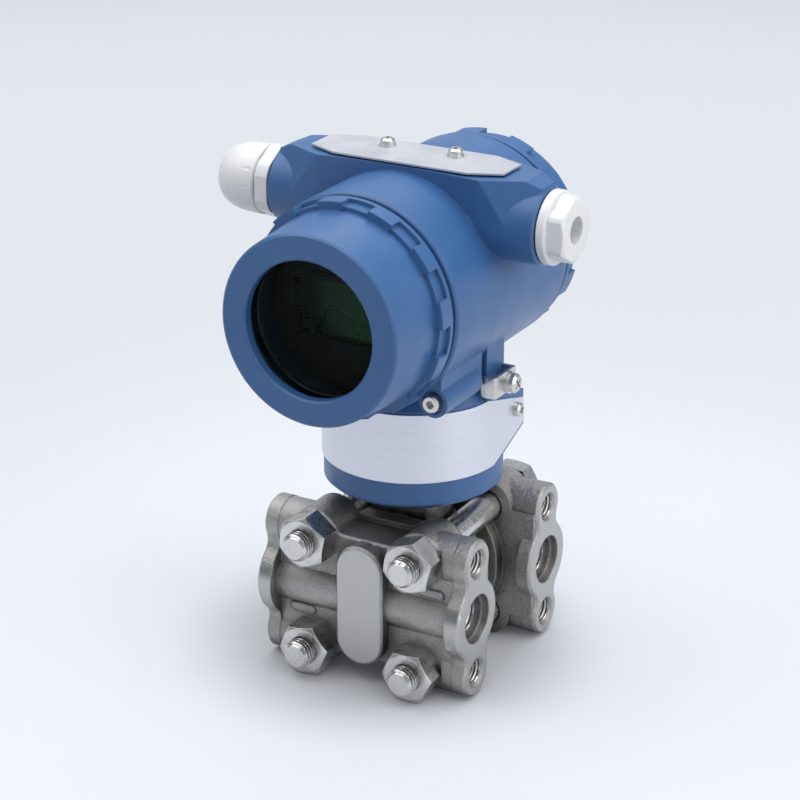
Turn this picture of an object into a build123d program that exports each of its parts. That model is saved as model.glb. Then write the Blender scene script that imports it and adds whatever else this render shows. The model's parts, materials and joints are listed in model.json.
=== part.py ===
from build123d import *
import math
import os

# A differential pressure transmitter: two process flanges bolted round a sensor cell, and a
# turned-over instrument head on the cell's neck. All sizes are in millimetres.
#
# While it is modelled, X runs along the process flanges, -Y is the display side, Z is up,
# and zero is the point between the flanges where the ports' height meets the neck's axis.
# The last section moves everything so that the origin is under the middle, on the floor.

OVER = 1.0                   # how far a cutter reaches past the face that it opens

# Process flanges
BOLT_SPACING = 41.3          # clamp bolts, and the small holes beside each port
PORT_SPACING = 54.0          # port axis to port axis, across the two flanges
FLANGE_LENGTH = 80.0         # end face to end face
FLANGE_GAP = 25.4            # between the two flanges' inner port lobes
HOLE_LOBE_R = 8.65           # lobes round the small threaded holes
PORT_LOBE_R = 14.3           # lobe round the port
END_PLATE_T = 5.6            # the three-lobed end plate
END_PLATE_EDGE = 0.9
WAIST_R = 5.0                # hollow curve between two lobes
WEB_FRONT = 33.7             # the nuts' seats, from the middle
WEB_BACK = 17.6              # the webs' inner faces
WEB_TOP = 22.8               # the plateau between the bolt lobes
WEB_EDGE = 0.7
BOLT_LOBE_R = 9.3
LOBE_FILLET_R = 4.0
BOSS_STEP = 0.15             # how much the long bosses are slimmer than the end plates' lobes
SPOT_FACE_R = 10.2           # machined seats for the nuts and the bolt heads
RIB_R = 9.0                  # half-round rib that carries the cross bore
RIB_FRONT = 37.0
PAD_LENGTH = 45.0            # the machined oval pad
PAD_WIDTH = 18.4
PAD_FRONT = 39.0
PAD_EDGE = 0.8
CLAMP_BOSS_R = 27.0          # boss that presses on the sensor cell
CLAMP_BOSS_TOP = 24.7
SMALL_HOLE_R = 4.45
SMALL_HOLE_DEPTH = 13.0
SMALL_MOUTH_R = 5.5
PORT_MOUTH_R = 8.8
PORT_MOUTH_DEPTH = 2.4
PORT_STEP_R = 7.7
PORT_STEP_DEPTH = 4.8
PORT_THREAD_R = 6.6
PORT_THREAD_DEPTH = 17.0
PORT_PASSAGE_R = 3.0
CELL_PASSAGE_R = 2.4
CHAMBER_R = 17.0             # pressure chamber in front of the diaphragm
CHAMBER_DEPTH = 1.6
MARK_X = 25.5                # raised oval patches where the casting is marked
MARK_Z = 8.9
MARK_LENGTH = 10.5
MARK_WIDTH = 3.8
MARK_RAISE = 0.35

# Clamp bolts and nuts
BOLT_R = 5.2
BOLT_HOLE_R = 5.6
BOLT_SHOWS = 5.2             # how far the bolts' ends stand out of the nuts
BOLT_TIP_R = 3.9
NUT_AF = 17.0
NUT_T = 9.0
HEAD_T = 7.4
NUT_BORE_GAP = 0.05
NUT_TURNS = (8, 22, 3, 17)   # how far each nut has been turned, in degrees
HEAD_TURNS = (4, 15, 9, 26)

# Sensor cell and neck
CELL_BOLT_GAP = 0.6035       # between the cell and the bolts that pass beside it
CELL_RIM_R = 20.6            # the raised joint faces
CELL_FACE_GAP = 0.05         # between the cell's joint faces and the flanges
SEAL_SECTION_R = 1.2
SEAL_RING_R = 18.6
SEAL_GROOVE_GAP = 0.1
DIAPHRAGM_RECESS = 1.2
DIAPHRAGM_R = 15.0
DIAPHRAGM_T = 0.3
DIAPHRAGM_FLAT_R = 3.0
DIAPHRAGM_WAVE = 0.35
DIAPHRAGM_WAVES = 2
STEM_R = 14.2
SHOULDER_R = 22.5
SHOULDER_BOTTOM = 31.4
SHOULDER_TOP = 34.4
SHOULDER_EDGE = 1.0
NECK_R = 16.6
NECK_SINK = 8.0              # from the collar's shoulder down to the neck's top
NECK_EDGE = 1.0
SET_GROOVE_DEPTH = 1.6
SET_GROOVE_HALF = 3.0
SET_GROOVE_SLOPE = 1.0
NECK_GROOVE_DEPTH = 2.2
NECK_SEAL_GAP = 0.05
TURN_GAP = 0.3               # between the neck and the head that turns on it

# Head: barrel
BARREL_HEIGHT = 110.95       # barrel axis above the ports
BARREL_R = 37.6
BARREL_FRONT = -39.2
BARREL_BACK = 42.8
BARREL_EDGE = 0.8
WALL = 4.8
THREAD_WALL = 3.4            # outside the covers' threads
THREAD_LENGTH = 11.0
PARTITION_FRONT = -13.0
PARTITION_T = 3.0
WIRE_HOLE_R = 4.5
WIRE_HOLE_WALL = 8.8         # from the bore to the middle of the partition's wire hole
WIRE_HOLE_Y = 5.0            # from the partition to the neck's wire hole
WIRE_SLOT_R = 2.5

# Head: collar
COLLAR_R = 31.5
COLLAR_BOTTOM = 35.95
COLLAR_EDGE = 1.2
COLLAR_TOP_GAP = 1.0         # above the neck, inside the collar
SHOULDER_DROP = 2.15         # from the barrel's underside to the collar's shoulder
NECK_CONE_R = 26.5
NECK_CONE_RISE = 8.0

# Head: conduit box
CONDUIT_SINK = 14.05         # from the barrel's top down to the conduits' axis
CONDUIT_FACE = 50.75
CONDUIT_R = 13.3
CONDUIT_EDGE = 0.8
CONDUIT_BORE_R = 9.4
CONDUIT_BORE_END = 14.0
BOX_RISE = 16.1              # the box's top above the conduits' axis
BOX_HALF_DEPTH = 13.3
BOX_WAIST = 2.2              # how far the front and back walls are dished
BOX_CORNER_X = 30.6          # where the top's long edges end
BOX_END_X = 44.4             # where the top's narrow ends are
BOX_END_HALF = 6.6
FACET_FOOT_X = 40.0          # where a corner facet runs out on the conduit boss
FACET_FOOT_RISE = 2.6

# Head: side pads, whose outlines are (y, share of the collar's height)
SIDE_PAD_WIDTH = 12.7
SIDE_PAD_RISE = 21.1         # above the collar's shoulder
SIDE_PAD_GAP = 0.8           # above the nameplate
TAB_PAD_INNER = 20.0
TAB_PAD_OUTLINE = ((0.0, 0.255), (8.4, 0.325), (22.8, 0.484), (21.9, 0.858), (2.4, 1.079), (0.0, 1.09))

# Covers
COVER_GAP = 1.7              # open joint between the barrel and a cover's rim
COVER_RIM_T = 2.2
COVER_BAND = 9.1             # from the barrel's front to the ends of the display cover's lugs
REAR_BAND = 10.0
COVER_NOSE = 22.1            # from those lugs to the display cover's face
REAR_COVER_DEPTH = 18.0      # from the barrel's back to the rear cover's face
LUG_STEP = 0.6               # the lugs are this much slimmer than the barrel
BAND_STEP = 2.1              # and the band between them this much
BODY_STEP = 1.6              # the cover's body below that band
NOSE_TAPER = 1.5
LUG_EDGE = 0.4
LUG_COUNT = 12
LUG_ANGLE = 14.5
FIRST_LUG = 97.5
COVER_BEVEL = 0.9
SKIRT_T = 4.7
SKIRT_LENGTH = 8.6
SKIRT_EDGE = 1.0
THREAD_GAP = 0.3
WINDOW_BEVEL = 0.7
WINDOW_LIP = 3.8             # how far the lip reaches over the glass
LIP_T = 3.8
REAR_COVER_EDGE = 3.0
REAR_COVER_FLOOR = 4.0
REAR_COVER_CORNER = 2.0
COVER_SEAL_R = 1.1
COVER_SEAL_STEP = 1.0        # the sealing ring's circle outside the thread
COVER_SEAL_GAP = 0.08

# Window
GLASS_STEP = 2.0             # ledge in the cover round the glass
GLASS_T = 6.0
GLASS_EDGE = 0.4
GASKET_T = 0.8
GASKET_STEP = 0.5
RETAINER_T = 2.4
RETAINER_GAP = 0.3
RETAINER_STEP = 1.1          # how much wider than the window its opening is
NOTCH_WIDTH = 4.0
NOTCH_DEPTH = 1.5
FIT = 0.1                    # slack round a piece that drops into its seat
TOUCH = 0.05                 # between flat faces that rest on each other

# Display and electronics
BEZEL_STAND = 8.9            # from the barrel's front to the bezel's face
BEZEL_GAP = 2.2              # round the bezel, inside the cover
BEZEL_T = 7.0
BEZEL_WALL = 1.6
BEZEL_SHEET = 2.0
BEZEL_EDGE = 0.6
LCD_MARGIN = 9.5             # from the bezel's edge to the display's end
LCD_HEIGHT = 20.0
LCD_FRAME = 2.6
LCD_FRAME_STEP = 0.5
LCD_LAP = 2.5                # how far the panel reaches behind its frame
LCD_T = 2.2
BOARD_GAP = 2.4              # round the display board, inside the cover
BOARD_T = 1.6
BOARD_BLOCK_X = 12.0
BOARD_BLOCK_Z = 8.0
MODULE_GAP = 2.3             # round the electronics, inside the barrel
MODULE_T = 14.6
MODULE_EDGE = 1.2
MODULE_WALL = 4.0
MODULE_DISH = 2.0
MODULE_SLOT_DEPTH = 8.0
STANDOFF_R = 2.6
STANDOFF_INSET = 3.8         # from the board's edge to the spacers' middles
STANDOFF_GAP = 0.02
STANDOFF_ANGLES = (30, 150, 270)

# Terminals
TERMINAL_WIDTH = 42.0
TERMINAL_HEIGHT = 22.0
TERMINAL_T = 13.0
TERMINAL_DROP = 6.0
TERMINAL_EDGE = 1.5
TERMINAL_PITCH = 10.0
TERMINAL_COUNT = 4
TERMINAL_SLOT = 8.0
TERMINAL_SLOT_DEPTH = 4.0
TERMINAL_SILL = 4.0
TERMINAL_SCREW_R = 2.9
TERMINAL_SCREW_T = 2.0
TERMINAL_SCREW_LENGTH = 5.0
TERMINAL_HOLE_DEPTH = 6.0
TERMINAL_WASHER = 7.0
TERMINAL_WASHER_T = 1.0

# Top plate and its buttons
PLATE_LIFT = 0.6             # between the box and the plate
PLATE_T = 0.7
PLATE_HALF = 36.5
PLATE_END_HALF = 6.4
PLATE_SIDE_HALF = 25.3
PLATE_HALF_DEPTH = 11.3
PLATE_SCREW_X = 13.0
PLATE_SCREW_Y = 4.5
SPACER_GAP = 0.02
BUTTON_X = 22.0
BUTTON_R = 2.9
BUTTON_T = 2.0
BUTTON_EDGE = 0.4
BUTTON_SINK = 0.2
BUTTON_STEM_R = 1.5
BUTTON_TRAVEL = 1.5
BUTTON_FLOOR_GAP = 0.3
BUTTON_POCKET_DEPTH = 4.4
BUTTON_GAP = 0.3

# Nameplate, whose heights and tab outline are shares of the collar's height
NAMEPLATE_T = 0.6
NAMEPLATE_FOOT = 0.268
NAMEPLATE_HEAD = 0.977
TAB_OUTLINE = ((-1.0, 0.277), (7.8, 0.37), (21.7, 0.521), (20.6, 0.784), (-5.0, 0.991))
TAB_START = -12.0
TAB_END = 30.0
TAB_SCREW_Y = 15.6
TAB_SCREW_SHARE = 0.702

# Small screws
SCREW_HEAD_R = 2.5
SCREW_HEAD_T = 2.1
SCREW_SHANK_R = 1.5
SCREW_LENGTH = 6.0
SCREW_HOLE_GAP = 0.05        # round a screw in its thread
SCREW_SLACK = 0.2            # round a screw in a plate
WASHER_R = 2.9
WASHER_T = 0.6
WASHER_SLACK = 0.1
SEAT_GAP = 0.02              # under a screw's head
CROSS_WIDTH = 0.7
CROSS_DEPTH = 1.1
PLATE_SCREW_TURN = 25
TAB_SCREW_TURN = 20

# Cable gland, conduit plug and their washers
GLAND_HEX_AF = 24.0
GLAND_CORNER_R = 12.8
GLAND_BODY_T = 5.0
GLAND_TAIL_R = 9.1
GLAND_TAIL_LENGTH = 12.0
GLAND_THREAD_R = 9.6
GLAND_THREAD_LENGTH = 9.0
GLAND_BORE_R = 6.9
GLAND_NUT_GAP = 0.8
GLAND_NUT_R = 12.4
GLAND_NUT_LENGTH = 17.0
GLAND_NUT_MOUTH_R = 4.9
GLAND_NUT_EDGE = 0.5
GLAND_DOME = ((0.3, 0.45), (1.0, 0.66), (2.4, 0.85), (4.2, 0.96))  # (drop, share of the length)
GLAND_NUT_TIP_R = 7.0        # the dome's flat end
GLAND_MOUTH_LENGTH = 3.0
GLAND_CONE_LENGTH = 2.0      # from the mouth down to the sleeve's width
GLAND_RELIEF_LENGTH = 2.2
GLAND_RIBS = 12
GLAND_RIB_R = 1.75           # the flutes between the ribs
GLAND_RIB_STAND = 1.5
GLAND_SEAL_R = 6.6
GLAND_SEAL_BORE_R = 4.2
GLAND_SEAL_SINK = 1.0        # how far the sleeve stands into the body's nose
GLAND_SEAL_STOP = 5.2        # from the nut's mouth to the sleeve
CONDUIT_WASHER_T = 0.6
CONDUIT_WASHER_GAP = 0.02
PLUG_DISC_R = 12.6
PLUG_DISC_T = 3.0
PLUG_DISC_EDGE = 0.6
PLUG_HEX_AF = 20.5
PLUG_CORNER_R = 11.4
PLUG_LENGTH = 8.8            # washer face to hexagon end
PLUG_HOLE_R = 4.7
PLUG_HOLE_DEPTH = 7.5

# Ground clamp
CLAMP_WIDTH = 7.6            # height of the strip
CLAMP_T = 1.1
CLAMP_FRONT = -8.7
CLAMP_RISE = 5.9             # its middle above the collar's shoulder
CLAMP_ARM = 14.8
CLAMP_LEG_SINK = 0.9         # how far the leg reaches past the pad's face
CLAMP_STAND = 3.5            # how far the strip's arm stands off the pad
CLAMP_EDGE = 1.0
GROUND_SCREW_Y = 1.5
GROUND_SCREW_RISE = 5.2
GROUND_SHANK_R = 1.9
GROUND_SCREW_DEPTH = 6.0
GROUND_HEAD_R = 3.4
GROUND_HEAD_T = 2.6
GROUND_WASHER_R = 3.9
GROUND_WASHER_T = 0.9
GROUND_SCREW_TURN = 40

# Lock screws
LOCK_STAND = 3.45            # from the barrel's outside to the lock screw's axis
LOCK_ANGLE = -46.0
LOCK_HEAD_R = 3.0
LOCK_HEAD_T = 3.2
LOCK_HEAD_EDGE = 0.4
LOCK_SHANK_R = 2.0
LOCK_SHANK_LENGTH = 12.0
LOCK_SOCKET_R = 1.3
LOCK_SOCKET_DEPTH = 2.0
LOCK_BOSS_R = 5.3
LOCK_BOSS_STEP = 0.4         # how far its face lies behind the barrel's front
LOCK_BOSS_BACK = -14.0
LOCK_HOLE_DEPTH = 8.0        # from the boss's end to the hole's
LOCK_WEB_DROP = 3.9          # from the screw's axis to the underside of the web beside it
LOCK_WEB_GAP = 1.5           # between that web and the ground clamp
LOCK_RECESS_R = 3.9
LOCK_RECESS_DEPTH = 1.0
SET_SCREW_R = 2.5
SET_SCREW_RISE = 5.1         # above the collar's bottom
SET_SCREW_SINK = 1.0
SET_SCREW_TIP_GAP = 0.1
SET_SOCKET_R = 1.25
SET_SOCKET_DEPTH = 2.5

# Values that follow from the ones above
PORT_Y = PORT_SPACING / 2
PITCH_HALF = BOLT_SPACING / 2
END_X = FLANGE_LENGTH / 2
CELL_HALF = FLANGE_GAP / 2
CELL_FACE = CELL_HALF - CELL_FACE_GAP
CELL_R = math.hypot(PITCH_HALF, PITCH_HALF) - BOLT_R - CELL_BOLT_GAP
FLANGE_BOTTOM = -(PITCH_HALF + BOLT_LOBE_R)
NUT_FRONT = WEB_FRONT + NUT_T
BOLT_END = NUT_FRONT + BOLT_SHOWS

BORE_R = BARREL_R - WALL
THREAD_R = BARREL_R - THREAD_WALL
PARTITION_BACK = PARTITION_FRONT + PARTITION_T
WIRE_HOLE_HEIGHT = BARREL_HEIGHT + BORE_R - WIRE_HOLE_WALL
COLLAR_SHOULDER = BARREL_HEIGHT - BARREL_R - SHOULDER_DROP
COLLAR_HEIGHT = COLLAR_SHOULDER - COLLAR_BOTTOM
COLLAR_BORE_R = NECK_R + TURN_GAP
NECK_TOP = COLLAR_SHOULDER - NECK_SINK
COLLAR_BORE_TOP = NECK_TOP + COLLAR_TOP_GAP
NECK_CONE_TOP = COLLAR_SHOULDER + NECK_CONE_RISE
SIDE_PAD_TOP = COLLAR_SHOULDER + SIDE_PAD_RISE
SET_SCREW_Z = COLLAR_BOTTOM + SET_SCREW_RISE
NECK_GROOVE_Z = (SET_SCREW_Z + SET_GROOVE_HALF + NECK_TOP - NECK_EDGE) / 2
NAMEPLATE_BOTTOM = COLLAR_BOTTOM + NAMEPLATE_FOOT * COLLAR_HEIGHT
NAMEPLATE_TOP = COLLAR_BOTTOM + NAMEPLATE_HEAD * COLLAR_HEIGHT
NAMEPLATE_INNER_R = COLLAR_R + TOUCH
TAB_SCREW_Z = COLLAR_BOTTOM + TAB_SCREW_SHARE * COLLAR_HEIGHT

CONDUIT_HEIGHT = BARREL_HEIGHT + BARREL_R - CONDUIT_SINK
BOX_TOP = CONDUIT_HEIGHT + BOX_RISE
FACET_FOOT_Z = CONDUIT_HEIGHT + FACET_FOOT_RISE
PLATE_BOTTOM = BOX_TOP + PLATE_LIFT
PLATE_TOP = PLATE_BOTTOM + PLATE_T
GLAND_FACE = -(CONDUIT_FACE + CONDUIT_WASHER_T)
GLAND_NUT_START = GLAND_FACE - GLAND_BODY_T - GLAND_NUT_GAP
GLAND_NUT_END = GLAND_NUT_START - GLAND_NUT_LENGTH
PLUG_FACE = CONDUIT_FACE + CONDUIT_WASHER_T
PLUG_END = PLUG_FACE + PLUG_LENGTH

COVER_RIM = BARREL_FRONT - COVER_GAP
REAR_RIM = BARREL_BACK + COVER_GAP
COVER_BAND_END = BARREL_FRONT - COVER_BAND
REAR_BAND_END = BARREL_BACK + REAR_BAND
COVER_FACE = COVER_BAND_END - COVER_NOSE
REAR_COVER_FACE = BARREL_BACK + REAR_COVER_DEPTH
COVER_LUG_R = BARREL_R - LUG_STEP
COVER_BAND_R = BARREL_R - BAND_STEP
COVER_BODY_R = COVER_BAND_R - BODY_STEP
COVER_FACE_R = COVER_BODY_R - NOSE_TAPER
SKIRT_R = THREAD_R - THREAD_GAP
COVER_BORE_R = SKIRT_R - SKIRT_T
COVER_SEAL_RING_R = THREAD_R + COVER_SEAL_STEP
GLASS_R = COVER_BORE_R - GLASS_STEP
WINDOW_R = GLASS_R - WINDOW_LIP
GLASS_FRONT = COVER_FACE + LIP_T + GASKET_T
GLASS_BACK = GLASS_FRONT + GLASS_T
RETAINER_R = COVER_BORE_R - RETAINER_GAP
RETAINER_BORE_R = WINDOW_R + RETAINER_STEP

BEZEL_FRONT = BARREL_FRONT - BEZEL_STAND
BEZEL_BACK = BEZEL_FRONT + BEZEL_T
BEZEL_R = COVER_BORE_R - BEZEL_GAP
LCD_WIDTH = 2 * (BEZEL_R - LCD_MARGIN)
LCD_FRONT = BEZEL_FRONT + BEZEL_SHEET + TOUCH
BOARD_R = COVER_BORE_R - BOARD_GAP
BOARD_FRONT = BEZEL_BACK + TOUCH
MODULE_R = BORE_R - MODULE_GAP
MODULE_BACK = PARTITION_FRONT - TOUCH
STANDOFF_RING_R = BOARD_R - STANDOFF_INSET
TERMINAL_BACK = PARTITION_BACK + TOUCH
TERMINAL_TOP = TERMINAL_BACK + TERMINAL_T
TERMINAL_Z = BARREL_HEIGHT - TERMINAL_DROP

CLAMP_Z = COLLAR_SHOULDER + CLAMP_RISE
GROUND_SCREW_Z = COLLAR_SHOULDER + GROUND_SCREW_RISE
CLAMP_OUTER = COLLAR_R + CLAMP_STAND + CLAMP_T
LOCK_RADIUS = BARREL_R + LOCK_STAND
LOCK_X = LOCK_RADIUS * math.cos(math.radians(LOCK_ANGLE))
LOCK_Z = BARREL_HEIGHT + LOCK_RADIUS * math.sin(math.radians(LOCK_ANGLE))
LOCK_FACE = BARREL_FRONT + LOCK_BOSS_STEP

ORIGIN = Vector((PLUG_END + GLAND_NUT_END) / 2, (REAR_COVER_FACE + COVER_FACE) / 2, FLANGE_BOTTOM)


# Helpers

def rod_x(radius, start, end, y=0.0, z=0.0):
    """A round bar along X between two places."""
    middle = Location((((start + end) / 2), y, z), (0, 90, 0))
    return middle * Cylinder(radius, abs(end - start))


def rod_y(radius, start, end, x=0.0, z=0.0):
    """A round bar along Y between two places."""
    middle = Location((x, (start + end) / 2, z), (90, 0, 0))
    return middle * Cylinder(radius, abs(end - start))


def rod_z(radius, start, end, x=0.0, y=0.0):
    """A round bar along Z between two places."""
    return Pos(x, y, (start + end) / 2) * Cylinder(radius, abs(end - start))


def block(x0, x1, y0, y1, z0, z1):
    """A box between two corners."""
    centre = Pos((x0 + x1) / 2, (y0 + y1) / 2, (z0 + z1) / 2)
    return centre * Box(abs(x1 - x0), abs(y1 - y0), abs(z1 - z0))


def turned_y(outline, height=0.0):
    """Turn an outline of (radius, y) points about an axis along Y at a height."""
    half = make_face(Polyline(*[(r, y, 0) for r, y in outline], close=True))
    return Pos(0, 0, height) * revolve(half, Axis.Y, 360)


def turned_z(outline):
    """Turn an outline of (radius, z) points about the neck's axis."""
    half = make_face(Polyline(*[(r, 0, z) for r, z in outline], close=True))
    return revolve(half, Axis.Z, 360)


def turned_x(outline, height=0.0):
    """Turn an outline of (radius, x) points about an axis along X at a height."""
    half = make_face(Polyline(*[(x, r, 0) for r, x in outline], close=True))
    return Pos(0, 0, height) * revolve(half, Axis.X, 360)


def ring_y(radius, section, y, height):
    """A square-section sealing ring about an axis along Y, with its corners taken off."""
    cut = section * 0.4
    near, far = radius - section, radius + section
    outline = (
        (near + cut, y - section),
        (far - cut, y - section),
        (far, y),
        (far - cut, y + section),
        (near + cut, y + section),
        (near, y),
    )
    return turned_y(outline, height)


def prism_x(outline, x0, x1):
    """A prism along X from an outline of (y, z) points."""
    face = make_face(Polyline(*[(x0, y, z) for y, z in outline], close=True))
    return extrude(face, x1 - x0, dir=(1, 0, 0))


def prism_z(outline, z0, z1):
    """A prism along Z from an outline of (x, y) points."""
    face = make_face(Polyline(*[(x, y, z0) for x, y in outline], close=True))
    return extrude(face, z1 - z0, dir=(0, 0, 1))


def hexagon_bar(across_flats, length):
    """A hexagonal bar on the XY plane, with its end corners turned off at the top."""
    bar = extrude(RegularPolygon(across_flats / 2, 6, major_radius=False), length)
    corner = across_flats / math.sqrt(3)
    flat = across_flats / 2 * 0.97
    top = length - (corner - flat) * math.tan(math.radians(30))
    return bar & turned_z(((0, 0), (corner, 0), (corner, top), (flat, length), (0, length)))


def cross_screw(head_r, head_t, shank_r, length):
    """A pan head screw with a cross slot: its seat is at zero and its head points up."""
    head = extrude(Circle(head_r), head_t)
    head = chamfer(head.edges().group_by(Axis.Z)[-1], head_t * 0.35)
    for turn in (0, 90):
        slot = Rot(0, 0, turn) * Pos(0, 0, head_t) * Box(head_r * 1.25, CROSS_WIDTH, CROSS_DEPTH * 2)
        head -= slot
    shank = Pos(0, 0, -length / 2) * Cylinder(shank_r, length)
    return head + shank


def on_collar(outline):
    """An outline whose heights are shares of the collar's height, as (y, z) in millimetres."""
    return [(y, COLLAR_BOTTOM + share * COLLAR_HEIGHT) for y, share in outline]


def octagon(half_length, end_half, side_half, half_depth):
    """The long eight-sided outline of the top plate and of the box below it."""
    quarter = ((half_length, end_half), (side_half, half_depth))
    right = list(quarter)
    left = [(-x, y) for x, y in reversed(quarter)]
    upper = right + left
    lower = [(x, -y) for x, y in reversed(upper)]
    return upper + lower


# Process flanges

def lobed_outline(x):
    """The three-lobed end of a flange as a closed face across X."""
    plane = Plane(origin=(x, -PORT_Y, 0), x_dir=(0, 1, 0), z_dir=(1, 0, 0))
    lobes = Circle(PORT_LOBE_R) + [Pos(0, side * PITCH_HALF) * Circle(HOLE_LOBE_R) for side in (-1, 1)]
    waists = [v for v in lobes.vertices() if HOLE_LOBE_R < abs(v.Y) < PITCH_HALF]
    return plane * fillet(waists, WAIST_R)


def end_plate(side):
    """The three-lobed plate at one end of the front flange."""
    start = side * (END_X - END_PLATE_T)
    plate = extrude(lobed_outline(start), END_PLATE_T, dir=(side, 0, 0))
    return chamfer(plate.edges().group_by(Axis.X)[0 if side < 0 else -1], END_PLATE_EDGE)


def end_bores(side):
    """The port and the two small threaded holes at one end of the front flange."""
    face = side * END_X

    def deep(depth):
        return side * (END_X - depth)

    cuts = rod_x(PORT_MOUTH_R, face, deep(PORT_MOUTH_DEPTH), -PORT_Y)
    cuts += rod_x(PORT_STEP_R, face, deep(PORT_STEP_DEPTH), -PORT_Y)
    cuts += rod_x(PORT_THREAD_R, face, deep(PORT_THREAD_DEPTH), -PORT_Y)
    for half in (-1, 1):
        height = half * PITCH_HALF
        cuts += rod_x(SMALL_HOLE_R, face, deep(SMALL_HOLE_DEPTH), -PORT_Y, height)
        flare = SMALL_MOUTH_R - SMALL_HOLE_R
        mouth = turned_x(((0, face), (SMALL_MOUTH_R, face), (SMALL_HOLE_R, deep(flare)), (0, deep(flare))))
        cuts += Pos(0, -PORT_Y, height) * mouth
    return cuts


def casting_marks():
    """Raised oval patches where a foundry marks its metal, left bare."""
    marks = []
    for side in (-1, 1):
        place = Plane(origin=(side * MARK_X, -WEB_FRONT, side * MARK_Z), x_dir=(1, 0, 0), z_dir=(0, -1, 0))
        marks.append(extrude(place * SlotOverall(MARK_LENGTH, MARK_WIDTH), MARK_RAISE, both=True))
    return marks


def bolt_places():
    """The four bolt axes as (x, z)."""
    return [(x, z) for x in (-PITCH_HALF, PITCH_HALF) for z in (-PITCH_HALF, PITCH_HALF)]


def flange_web():
    """The flange's plate, with a lobe round each bolt that runs out in a hollow curve."""
    face = Rectangle(2 * END_X - 2 * OVER, 2 * PITCH_HALF) + Rectangle(2 * PITCH_HALF, 2 * WEB_TOP)
    for x, z in bolt_places():
        face += Pos(x, z) * Circle(BOLT_LOBE_R)
    hollows = [v for v in face.vertices() if abs(v.X) < PITCH_HALF - OVER and abs(v.Y) > WEB_TOP - OVER]
    face = fillet(hollows, LOBE_FILLET_R)
    plane = Plane(origin=(0, -WEB_BACK, 0), x_dir=(1, 0, 0), z_dir=(0, -1, 0))
    web = extrude(plane * face, WEB_FRONT - WEB_BACK, dir=(0, -1, 0))
    return chamfer(web.edges().group_by(Axis.Y)[0], WEB_EDGE)


def front_flange():
    """One process flange, seen from the display side."""
    body = flange_web()
    for x, z in bolt_places():
        body += rod_x(HOLE_LOBE_R - BOSS_STEP, x, math.copysign(END_X - OVER, x), -PORT_Y, z)
    for x, z in bolt_places():
        body -= rod_y(SPOT_FACE_R, -WEB_FRONT - HOLE_LOBE_R, -WEB_FRONT, x, z)
    body += rod_x(RIB_R, -END_X + OVER, END_X - OVER, -RIB_FRONT + RIB_R)
    root = -WEB_BACK - OVER
    body += rod_y(CLAMP_BOSS_R, root, -CELL_HALF) & block(
        -END_X, END_X, root, -CELL_HALF, -CLAMP_BOSS_TOP, CLAMP_BOSS_TOP
    )
    middle = Plane(origin=(0, -PORT_Y, 0), x_dir=(0, 0, 1), z_dir=(0, -1, 0))
    pad = extrude(middle * SlotOverall(PAD_LENGTH, PAD_WIDTH), PAD_FRONT - PORT_Y, dir=(0, -1, 0))
    body += chamfer(pad.edges().group_by(Axis.Y)[0], PAD_EDGE)
    body += [end_plate(-1), end_plate(1)]
    body += casting_marks()
    body -= [end_bores(-1), end_bores(1)]
    for x, z in bolt_places():
        body -= rod_y(BOLT_HOLE_R, -WEB_FRONT - OVER, -CELL_HALF + OVER, x, z)
    body -= rod_x(PORT_PASSAGE_R, -END_X + PORT_STEP_DEPTH, END_X - PORT_STEP_DEPTH, -PORT_Y)
    body -= rod_y(CELL_PASSAGE_R, -PORT_Y, -CELL_HALF + OVER)
    body -= rod_y(CHAMBER_R, -CELL_HALF - CHAMBER_DEPTH, -CELL_HALF + OVER)
    return body


# Clamp bolts and nuts

def clamp_bolts():
    """Four hexagon head bolts from behind the rear flange to past the nuts."""
    bolts = []
    chamfer_t = BOLT_R - BOLT_TIP_R
    tip = -BOLT_END
    outline = ((0, tip), (BOLT_TIP_R, tip), (BOLT_R, tip + chamfer_t), (BOLT_R, WEB_FRONT), (0, WEB_FRONT))
    for (x, z), turn in zip(bolt_places(), HEAD_TURNS):
        shank = Pos(x, 0, z) * turned_y(outline)
        facing = Location((x, WEB_FRONT, z), (-90, 0, 0))
        bolts.append(shank + facing * Rot(0, 0, turn) * hexagon_bar(NUT_AF, HEAD_T))
    return bolts


def clamp_nuts():
    """Four hexagon nuts on the front flange, each turned its own way."""
    nuts = []
    for (x, z), turn in zip(bolt_places(), NUT_TURNS):
        facing = Location((x, -WEB_FRONT, z), (90, 0, 0))
        nut = facing * Rot(0, 0, turn) * hexagon_bar(NUT_AF, NUT_T)
        nuts.append(nut - rod_y(BOLT_R + NUT_BORE_GAP, -NUT_FRONT - OVER, -WEB_FRONT + OVER, x, z))
    return nuts


# Sensor cell, its seals and diaphragms, and the neck

def sensor_cell():
    """The round welded cell clamped between the flanges."""
    groove_in = SEAL_RING_R - SEAL_SECTION_R - SEAL_GROOVE_GAP
    groove_out = SEAL_RING_R + SEAL_SECTION_R + SEAL_GROOVE_GAP
    recess_r = DIAPHRAGM_R + FIT
    groove_floor = -CELL_FACE + 2 * SEAL_SECTION_R
    outline = [
        (0, -CELL_FACE + DIAPHRAGM_RECESS),
        (recess_r, -CELL_FACE + DIAPHRAGM_RECESS),
        (recess_r, -CELL_FACE),
        (groove_in, -CELL_FACE),
        (groove_in, groove_floor),
        (groove_out, groove_floor),
        (groove_out, -CELL_FACE),
        (CELL_RIM_R, -CELL_FACE),
        (CELL_R, -CELL_FACE + CELL_R - CELL_RIM_R),
    ]
    outline += [(r, -y) for r, y in reversed(outline)]
    half_depth = CELL_FACE - CELL_R + CELL_RIM_R
    stem = rod_z(STEM_R, 0, SHOULDER_BOTTOM) & block(
        -STEM_R, STEM_R, -half_depth, half_depth, 0, SHOULDER_BOTTOM
    )
    return turned_y(outline) + stem


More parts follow.
